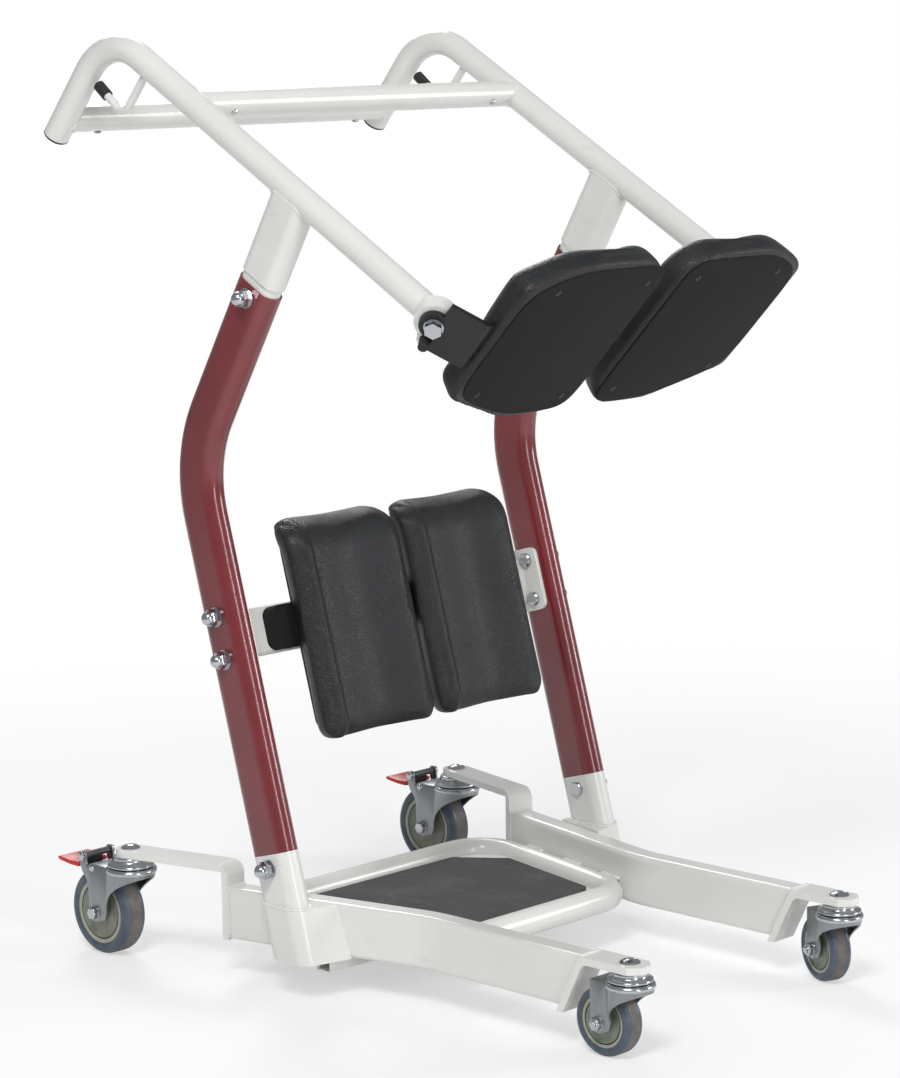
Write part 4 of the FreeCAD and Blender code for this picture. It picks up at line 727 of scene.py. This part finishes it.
def sunk_screws(side):
    """Four dark screws that hold the board, sunk in the cloth."""
    sunk = []
    for x, v in SEAT_SCREWS:
        place = seat @ Matrix.Translation((x * MM, v * MM, BASE_DROP - SCREW_SUNK))
        if side == "left":
            place = Matrix.Scale(-1, 4, (1, 0, 0)) @ place
        head = moved_by(spun(SCREW_PROFILE, 28), place)
        bmesh.ops.recalc_face_normals(head, faces=head.faces)
        sunk.append(head)
    heads = settle(joined(*sunk), side + "_seat_screw_heads", black_steel,
                   side + "_seat", 40)
    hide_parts(side + "_seat_screws")


for side in ("left", "right"):
    base_cover(side)
    sunk_screws(side)

# Casters: bright stem heads and bell shaped cups on the arms, and below them a pressed
# zinc fork with a polished race, a grey wheel on a plain bolt, and a brake at the rear.

CASTER = {"rear": {"wheel": 50 * MM, "width": 32 * MM, "trail": 42 * MM, "race": 30 * MM,
                   "cup": 27 * MM, "cup_height": 13 * MM, "hub": 38.5 * MM, "disc": 32 * MM,
                   "round": 8 * MM, "foot": 20 * MM},
          "front": {"wheel": 37.5 * MM, "width": 26 * MM, "trail": 29 * MM, "race": 27 * MM,
                    "cup": 24.5 * MM, "cup_height": 11 * MM, "hub": 29 * MM, "disc": 24 * MM,
                    "round": 6.5 * MM, "foot": 17 * MM}}
FORK_GAP, FORK_SHEET, HOOD_SHEET = 3 * MM, 2.5 * MM, 1.9 * MM
RACE_GAP, RACE_EDGE, RACE_HEIGHT, HOOD_SETBACK = 0.5 * MM, 3.6 * MM, 7.2 * MM, 1.2 * MM
STEM, STEM_GAP = 6 * MM, 0.3 * MM
FOOT_RADIUS = 11 * MM
ROLLER_Y, ROLLER_Z, EAR_RADIUS = 62 * MM, 114.5 * MM, 6.2 * MM
AXLE_HEX, AXLE_HEAD = 13 * MM, 5 * MM
WASHER = [(0, 0), (8.2 * MM, 0), (8.2 * MM, 0.9 * MM), (7.6 * MM, 1.4 * MM), (0, 1.4 * MM)]
RIVET_Y, RIVET_Z = 45 * MM, 102 * MM


def arc(centre, radius, start, end, count=8):
    """Points on an arc of an outline, angles in degrees."""
    turns = [math.radians(start + (end - start) * step / count) for step in range(count + 1)]
    return [(centre[0] + radius * math.cos(t), centre[1] + radius * math.sin(t)) for t in turns]


def slab(outline, low, high, bevel=0.6 * MM):
    """A flat piece in the YZ plane from x low to high, its edges eased."""
    mesh = bmesh.new()
    face = mesh.faces.new([mesh.verts.new((low, y, z)) for y, z in outline])
    grown = bmesh.ops.extrude_face_region(mesh, geom=[face])
    bmesh.ops.translate(mesh, vec=(high - low, 0, 0),
                        verts=[g for g in grown["geom"] if isinstance(g, bmesh.types.BMVert)])
    bmesh.ops.recalc_face_normals(mesh, faces=mesh.faces)
    bmesh.ops.bevel(mesh, geom=mesh.edges, offset=bevel, affect="EDGES", segments=2,
                    profile=0.5, material=-1, clamp_overlap=True)
    return mesh


def hex_head(across, height):
    """A hexagon head with its corners turned off, standing on z = 0."""
    mesh = bmesh.new()
    radius = across / 2 / math.cos(math.pi / 6)
    bmesh.ops.create_cone(mesh, cap_ends=True, segments=6, radius1=radius, radius2=radius,
                          depth=height, matrix=Matrix.Translation((0, 0, height / 2)))
    top = [edge for edge in mesh.edges if all(v.co.z > height * 0.9 for v in edge.verts)]
    bmesh.ops.bevel(mesh, geom=top, offset=height * 0.22, affect="EDGES", segments=3,
                    profile=0.5, material=-1)
    return mesh


def wheel_grey(name, base, light, roughness, depth):
    """Moulded polymer with a slight cloud and a fine moulding grain."""
    finish = Finish(name, specular_ior_level=0.45)
    cloud = finish.noise(70.0, 4.0)
    finish.put("Base Color", finish.blend(finish.step(cloud, 0.3, 0.75), base, light))
    finish.put("Roughness", roughness + cloud * 0.14)
    finish.bump(finish.noise(900.0, 2.0) + cloud, 0.18, depth)
    return finish


tyre_grey = wheel_grey("tyre_grey", (0.062, 0.082, 0.112), (0.090, 0.112, 0.142), 0.27, 0.0003)
tread_brown = wheel_grey("tread_brown", (0.105, 0.092, 0.078), (0.155, 0.138, 0.118), 0.42, 0.0006)
hub_grey = wheel_grey("hub_grey", (0.185, 0.200, 0.150), (0.240, 0.252, 0.195), 0.36, 0.0003)
rim_grey = wheel_grey("rim_grey", (0.33, 0.335, 0.275), (0.42, 0.42, 0.35), 0.38, 0.0003)
seal_black = wheel_grey("seal_black", (0.01, 0.01, 0.01), (0.02, 0.02, 0.02), 0.5, 0.0002)
red = wheel_grey("red_pedal", (0.50, 0.022, 0.016), (0.62, 0.040, 0.028), 0.28, 0.0004)
grip_grey = wheel_grey("roller_grey", (0.065, 0.068, 0.072), (0.10, 0.105, 0.11), 0.34, 0.0003)


def cup_profile(size, low):
    """The bell: a flat foot, a rolled rim, a soft hollow and a shoulder under the arm."""
    rim, height = size["cup"], size["cup_height"]
    high = low + height
    return ([(STEM, low)] + arc((rim - 2 * MM, low + 2 * MM), 2 * MM, -90, 80, 8)
            + arc((rim - 1.0 * MM, high - 2.6 * MM), 5.2 * MM, 215, 180, 5)
            + arc((rim - 8.6 * MM, high - 2.6 * MM), 2.6 * MM, 10, 90, 5) + [(STEM, high)])


def race_profile(size, top):
    """The fork's polished race: flat on top with a full round edge."""
    rim = size["race"]
    edge = arc((rim - RACE_EDGE, top - RACE_EDGE), RACE_EDGE, 90, -55, 9)
    return [(STEM + STEM_GAP, top)] + edge + [(STEM + STEM_GAP, top - RACE_HEIGHT)]


def shoulder(size, top, outer, sign):
    """Half of the pressed hood, from the crease round to the front, as one sheet."""
    race = size["race"] - HOOD_SETBACK
    crease_y = math.sqrt(race * race - outer * outer)
    first = math.degrees(math.atan2(outer, crease_y))
    high = top - 4.6 * MM
    foot = Vector((outer - 0.2 * MM, size["trail"] - size["foot"], size["wheel"] - 3 * MM))
    mesh = bmesh.new()
    bmesh.ops.create_grid(mesh, x_segments=26, y_segments=9, size=0.5)
    for vert in mesh.verts:
        across, along = vert.co.x + 0.5, vert.co.y + 0.5
        turn = math.radians(first + (180 - first) * across)
        start = Vector((race * math.sin(turn), race * math.cos(turn), high))
        lift = math.sin(math.pi / 2 * across) ** 0.72
        goal = foot.lerp(start - Vector((0, 0, 5 * MM)), lift)
        point = start.lerp(goal, along)
        point.x += math.sin(math.pi * along) * (1 - lift) * 1.2 * MM
        vert.co = Vector((sign * point.x, point.y, point.z))
    bmesh.ops.recalc_face_normals(mesh, faces=mesh.faces)
    if sum(f.normal.x * sign * f.calc_area() for f in mesh.faces) < 0:
        bmesh.ops.reverse_faces(mesh, faces=mesh.faces)
    bmesh.ops.solidify(mesh, geom=mesh.faces, thickness=HOOD_SHEET)
    return mesh


def side_outline(size, end, top, outer):
    """The flat cheek of the fork in the YZ plane, behind the crease."""
    trail, axle = size["trail"], size["wheel"]
    crease = math.sqrt((size["race"] - HOOD_SETBACK) ** 2 - outer ** 2)
    high = top - 1.0 * MM
    foot = arc((trail, axle), FOOT_RADIUS, -20, -110, 7)
    front = [(trail - size["foot"] + 2 * MM, axle - 6 * MM),
             (trail - size["foot"] - 1 * MM, axle + 4 * MM), (crease - 1 * MM, high - 4 * MM),
             (crease + 3 * MM, high)]
    if end == "front":
        return [(trail + FOOT_RADIUS, high)] + foot + front
    ear = arc((ROLLER_Y, ROLLER_Z), EAR_RADIUS, 165, -30, 9)
    notch = arc((ROLLER_Y - 9.5 * MM, top - 1.5 * MM), 2.6 * MM, 180, 340, 6)
    rear = [(ROLLER_Y + 5 * MM, ROLLER_Z - 9 * MM), (ROLLER_Y + 0.5 * MM, ROLLER_Z - 19 * MM),
            (trail + 13.5 * MM, ROLLER_Z - 27 * MM), (trail + FOOT_RADIUS, ROLLER_Z - 37 * MM)]
    return notch + ear + rear + foot + front


def fork_shell(name, size, end, top, outer, here):
    """The pressed fork: two cheeks, the hood round the front and the crown plate."""
    plate_rear = 47 * MM if end == "rear" else size["trail"] + 10.5 * MM
    cheeks = []
    for sign in (-1, 1):
        inner, face = sign * (outer - FORK_SHEET), sign * outer
        cheeks.append(slab(side_outline(size, end, top, outer), min(inner, face), max(inner, face)))
        cheeks.append(shoulder(size, top, outer, sign))
    crown = slab([(6 * MM, top - 3.4 * MM), (plate_rear, top - 3.4 * MM),
                  (plate_rear, top - 0.8 * MM), (6 * MM, top - 0.8 * MM)], -outer + 0.5 * MM,
                 outer - 0.5 * MM)
    return settle(moved_by(joined(crown, *cheeks), here), name + "_fork_shell", zinc,
                  name + "_fork", 38)


def axle_bolt(name, end, outer, axle_at):
    """A washer and a hexagon on each side; the thread's end shows past both nuts at the front and
    past one nut at the rear.
    """
    fittings = []
    for sign in (-1, 1):
        face = (axle_at @ Matrix.Rotation(sign * math.pi / 2, 4, "Y")
                @ Matrix.Translation((0, 0, outer)))
        fittings.append(moved_by(spun(WASHER, 40), face))
        fittings.append(moved_by(hex_head(AXLE_HEX, AXLE_HEAD),
                                 face @ Matrix.Translation((0, 0, 1.3 * MM))))
        if end == "front" or sign == 1:
            stud = spun([(0, 0)] + arc((3.1 * MM, 8.2 * MM), 0.8 * MM, 0, 90, 3)
                        + [(0, 9 * MM)], 32)
            collar = spun([(0, 4 * MM)] + arc((4.6 * MM, 6.2 * MM), 1.0 * MM, 0, 90, 4)
                          + [(3.6 * MM, 7.2 * MM), (3.6 * MM, 4 * MM)], 32)
            fittings += [moved_by(stud, face), moved_by(collar, face)]
    settle(joined(*fittings), name + "_axle_bolt", chrome, name + "_fork", 35)
    dress(zinc, name + "_axle")


def tyre_half(size, band, sign):
    """One shoulder of the tyre, up to the tread band."""
    half, radius, hub, corner = size["width"] / 2, size["wheel"], size["hub"], size["round"]
    curve = arc((radius - corner, half - corner), corner, 90, 8, 9)
    return ([(hub - 1 * MM, sign * (half - 1.6 * MM)), (hub + 1 * MM, sign * (half - 0.6 * MM)),
             (hub + 2.4 * MM, sign * half)] + [(x, sign * z) for x, z in curve]
            + [(radius - 0.1 * MM, sign * band), (hub - 1 * MM, sign * band)])


def wheel_rings(size):
    """Half outlines of the light rim, the hub disc and the black seal between them."""
    hub, disc, face = size["hub"], size["disc"], size["width"] / 2 - 1.8 * MM
    rim = [(disc + 0.8 * MM, 4 * MM), (disc + 0.8 * MM, face - 0.5 * MM), (disc + 1.6 * MM, face),
           (hub - 2.2 * MM, face + 0.3 * MM), (hub - 0.2 * MM, face - 0.6 * MM),
           (hub - 0.2 * MM, 4 * MM)]
    plate = [(4.1 * MM, 4 * MM), (4.1 * MM, face + 0.4 * MM), (12 * MM, face + 0.4 * MM),
             (15 * MM, face - 1.4 * MM), (disc - 3 * MM, face - 1.1 * MM), (disc - 1.6 * MM, face),
             (disc - 0.7 * MM, face - 0.5 * MM), (disc - 0.7 * MM, 4 * MM)]
    seal = [(disc - 1 * MM, 4 * MM), (disc - 1 * MM, face - 1.2 * MM),
            (disc + 1 * MM, face - 1.2 * MM), (disc + 1 * MM, 4 * MM)]
    return ("_rim", rim_grey, rim), ("_hub_disc", hub_grey, plate), ("_seal", seal_black, seal)


def wheel(name, size, spin_at):
    """Grey tyre with a brown tread band, and a hub with its rim and seal; gives the tyre."""
    radius, hub = size["wheel"], size["hub"]
    band = size["width"] / 2 * 0.42
    halves = [spun(tyre_half(size, band, sign), 96) for sign in (-1, 1)]
    tyre = settle(moved_by(joined(*halves), spin_at), name + "_tyre", tyre_grey,
                  name + "_wheel", 50)
    crest = [(hub - 1 * MM, -band), (radius - 0.1 * MM, -band), (radius, -band * 0.5),
             (radius, band * 0.5), (radius - 0.1 * MM, band), (hub - 1 * MM, band)]
    settle(moved_by(spun(crest, 96), spin_at), name + "_tread_band", tread_brown,
           name + "_wheel", 50)
    for ending, finish, outline in wheel_rings(size):
        rings = [spun([(x, sign * z) for x, z in outline], 96) for sign in (-1, 1)]
        settle(moved_by(joined(*rings), spin_at), name + ending, finish,
               name + "_wheel", 40)
    return tyre


def brake_roller(name, outer, here):
    """The dark roller between the fork's ears, its end caps, and the rivets below."""
    quarter = math.pi / 2
    roller_at = (here @ Matrix.Translation((0, ROLLER_Y, ROLLER_Z))
                 @ Matrix.Rotation(quarter, 4, "Y"))
    grip = spun([(0, -outer + 3 * MM)] + arc((3.2 * MM, -outer + 3.8 * MM), 0.8 * MM, -90, 0, 3)
                + arc((3.2 * MM, outer - 3.8 * MM), 0.8 * MM, 0, 90, 3) + [(0, outer - 3 * MM)], 40)
    settle(moved_by(grip, roller_at), name + "_brake_roller", grip_grey,
           name + "_fork", 40)
    cap = ([(0, outer - 3 * MM), (2.6 * MM, outer - 3 * MM), (2.6 * MM, outer)]
           + arc((4.2 * MM, outer + 1.4 * MM), 1.4 * MM, -90, 60, 5) + [(0, outer + 3.2 * MM)])
    rivet = [(0, 0), (4 * MM, 0)] + arc((2 * MM, 0), 2 * MM, 0, 90, 5) + [(0, 2.2 * MM)]
    ends = []
    for sign in (-1, 1):
        turned = roller_at @ Matrix.Rotation(0 if sign == 1 else math.pi, 4, "X")
        ends.append(moved_by(spun(cap, 32), turned))
        rivet_at = (here @ Matrix.Translation((sign * outer, RIVET_Y, RIVET_Z))
                    @ Matrix.Rotation(sign * quarter, 4, "Y"))
        ends.append(moved_by(spun(rivet, 32), rivet_at))
    settle(joined(*ends), name + "_fork_rivets", chrome, name + "_fork", 40)


PADDLE_HALF, PADDLE_EDGE = 22 * MM, 1.3 * MM
PADDLE = [(70 * MM, 100 * MM), (68.6 * MM, 103.4 * MM), (71 * MM, 106 * MM),
          (84 * MM, 105.6 * MM), (102 * MM, 107.6 * MM), (106 * MM, 106.8 * MM),
          (106.4 * MM, 104.4 * MM), (102 * MM, 102.6 * MM), (84 * MM, 100.4 * MM)]
SHOE = [(64 * MM, 99 * MM), (64 * MM, 110 * MM), (78 * MM, 109 * MM), (74 * MM, 98 * MM)]
SHOE_TOE = [(72 * MM, 96 * MM), (70 * MM, 107 * MM), (84 * MM, 107 * MM)]


def brake_pedal(side, here):
    """The red foot paddle and the black shoe under it."""
    paddle = slab(PADDLE, -PADDLE_HALF, PADDLE_HALF, PADDLE_EDGE)
    paddle = settle(moved_by(paddle, here), side + "_brake_paddle", red,
                    side + "_brake_pedal", 40)
    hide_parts(side + "_brake_pedal")
    shoe = joined(slab(SHOE, -11 * MM, 11 * MM, 1 * MM), slab(SHOE_TOE, -7 * MM, 7 * MM, 1 * MM))
    settle(moved_by(shoe, here), side + "_brake_shoe", rubber,
           side + "_brake_pedal", 40)


CASTERS = ("left_rear", "right_rear", "left_front", "right_front")
for name in CASTERS:
    end = name.split("_")[1]
    size = CASTER[end]
    swivel = Vector(joints[name + "_swivel"]["pos_m"])
    yaw = math.atan2(*reversed(joints[name + "_spin"]["axis"][:2]))
    here = Matrix.Translation((swivel.x, swivel.y, 0)) @ Matrix.Rotation(yaw, 4, "Z")
    top = swivel.z
    outer = size["width"] / 2 + FORK_GAP + FORK_SHEET
    settle(moved_by(spun(cup_profile(size, top + RACE_GAP)), here), name + "_cup", chrome,
           "frame", 40)
    settle(moved_by(spun(race_profile(size, top)), here), name + "_race", chrome,
           name + "_fork", 40)
    shell = fork_shell(name, size, end, top, outer, here)
    axle_at = here @ Matrix.Translation((0, size["trail"], size["wheel"]))
    axle_bolt(name, end, outer, axle_at)
    tyre = wheel(name, size, axle_at @ Matrix.Rotation(math.pi / 2, 4, "Y"))
    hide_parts(name + "_fork")
    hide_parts(name + "_wheel")
    if end == "rear":
        brake_roller(name, outer, here)
        brake_pedal(name.split("_")[0], here)

ARM_TOP = {"rear": 130 * MM, "front": 104 * MM}
STEM_HEAD = [(0, -3 * MM), (7 * MM, -3 * MM), (7 * MM, 0), (11 * MM, 0), (11.2 * MM, 0.9 * MM),
             (9.6 * MM, 2.6 * MM), (7.4 * MM, 3.6 * MM), (6.4 * MM, 3.1 * MM),
             (5.4 * MM, 3.9 * MM), (2.8 * MM, 4.5 * MM), (0, 4.6 * MM)]
heads = []
for name in CASTERS:
    swivel = Vector(joints[name + "_swivel"]["pos_m"])
    on_arm = Matrix.Translation((swivel.x, swivel.y, ARM_TOP[name.split("_")[1]]))
    heads.append(moved_by(spun(STEM_HEAD, 48), on_arm))
stem_heads = settle(joined(*heads), "caster_stem_heads", chrome, "frame", 50)
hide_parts("caster_stems")
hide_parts("caster_cups")

# The pale floor runs out into an even white. A soft studio light stands front left and
# high, with a weaker fill and a rim light, and the camera where the picture was taken.

FLOOR_HALF, EVEN_FROM, EVEN_TO = 60.0, 0.9, 2.1
floor_mesh = bmesh.new()
bmesh.ops.create_grid(floor_mesh, x_segments=2, y_segments=2, size=FLOOR_HALF)
floor_data = bpy.data.meshes.new("floor")
floor_mesh.to_mesh(floor_data)
floor_mesh.free()
floor = bpy.data.objects.new("floor", floor_data)
bpy.context.scene.collection.objects.link(floor)
pale = Finish("pale_floor", roughness=0.75, specular_ior_level=0.15)
pale.put("Base Color", pale.blend(pale.noise(2.0), (0.93, 0.93, 0.93), (0.95, 0.95, 0.95)))
away = pale.node("VectorMath", {0: pale.place}, out="Value", operation="LENGTH")
glow = pale.node("Emission", {"Color": (1.0, 1.0, 1.0), "Strength": 1.0}, out="Emission")
looked_at = pale.node("LightPath", out="Is Camera Ray")
even = (0.5 + pale.step(away, EVEN_FROM, EVEN_TO) * 0.5) * looked_at
blend_out = pale.node("MixShader", {0: even, 2: glow}, out="Shader")
pale.tree.links.new(pale.shader.outputs["BSDF"], blend_out.socket.node.inputs[1])
pale.tree.links.new(blend_out.socket, pale.tree.nodes["Material Output"].inputs["Surface"])
floor_data.materials.append(pale.material)

WORLD_SEEN, WORLD_LIGHT = 1.0, 0.30
world = bpy.data.worlds.new("studio")
world.use_nodes = True
sky = world.node_tree
sky.nodes["Background"].inputs["Color"].default_value = (0.96, 0.98, 1.0, 1.0)
sky.nodes["Background"].inputs["Strength"].default_value = WORLD_LIGHT
seen = sky.nodes.new("ShaderNodeBackground")
seen.inputs["Color"].default_value = (1.0, 1.0, 1.0, 1.0)
seen.inputs["Strength"].default_value = WORLD_SEEN
ray = sky.nodes.new("ShaderNodeLightPath")
either = sky.nodes.new("ShaderNodeMixShader")
sky.links.new(ray.outputs["Is Camera Ray"], either.inputs[0])
sky.links.new(sky.nodes["Background"].outputs[0], either.inputs[1])
sky.links.new(seen.outputs[0], either.inputs[2])
sky.links.new(either.outputs[0], sky.nodes["World Output"].inputs["Surface"])
bpy.context.scene.world = world
bpy.context.scene.view_settings.view_transform = "Standard"

LAMPS = {"key": ((-2.6, -1.6, 3.6), (1.2, 1.2), 104.0),
         "strip": ((-0.9, -3.8, 1.5), (0.3, 2.4), 34.0),
         "fill": ((2.9, -2.8, 1.5), (0.7, 1.4), 44.0),
         "rim": ((1.8, 2.8, 2.8), (1.4, 1.4), 60.0)}
LIT_POINT = Vector((0, 0, 0.5))
for name, (spot, (width, height), power) in LAMPS.items():
    lamp = bpy.data.lights.new(name, "AREA")
    lamp.shape = "RECTANGLE"
    lamp.size, lamp.size_y = width, height
    lamp.energy = power
    holder = bpy.data.objects.new(name, lamp)
    aim = LIT_POINT - Vector(spot)
    turn = aim.to_track_quat("-Z", "Y").to_matrix().to_4x4()
    holder.matrix_world = Matrix.Translation(spot) @ turn
    bpy.context.scene.collection.objects.link(holder)

SENSOR_WIDTH, LENS = 36, 131.36
CAMERA_PLACE = Vector((-2.6443, -2.5450, 1.0619))
CAMERA_AZIMUTH, CAMERA_ELEVATION, CAMERA_ROLL = (math.radians(angle)
                                                 for angle in (-45.73, 8.92, -0.82))
back = Vector((math.sin(CAMERA_AZIMUTH) * math.cos(CAMERA_ELEVATION),
               -math.cos(CAMERA_AZIMUTH) * math.cos(CAMERA_ELEVATION),
               math.sin(CAMERA_ELEVATION)))
right = (-back).cross(Vector((0, 0, 1))).normalized()
above = right.cross(-back)
leaned_right = right * math.cos(CAMERA_ROLL) + above * math.sin(CAMERA_ROLL)
leaned_above = above * math.cos(CAMERA_ROLL) - right * math.sin(CAMERA_ROLL)
view = bpy.data.cameras.new("camera")
view.sensor_width = SENSOR_WIDTH
view.sensor_fit = "HORIZONTAL"
view.lens = LENS
camera = bpy.data.objects.new("camera", view)
camera.matrix_world = Matrix((leaned_right, leaned_above, back)).transposed().to_4x4()
camera.location = CAMERA_PLACE
bpy.context.scene.collection.objects.link(camera)
bpy.context.scene.camera = camera
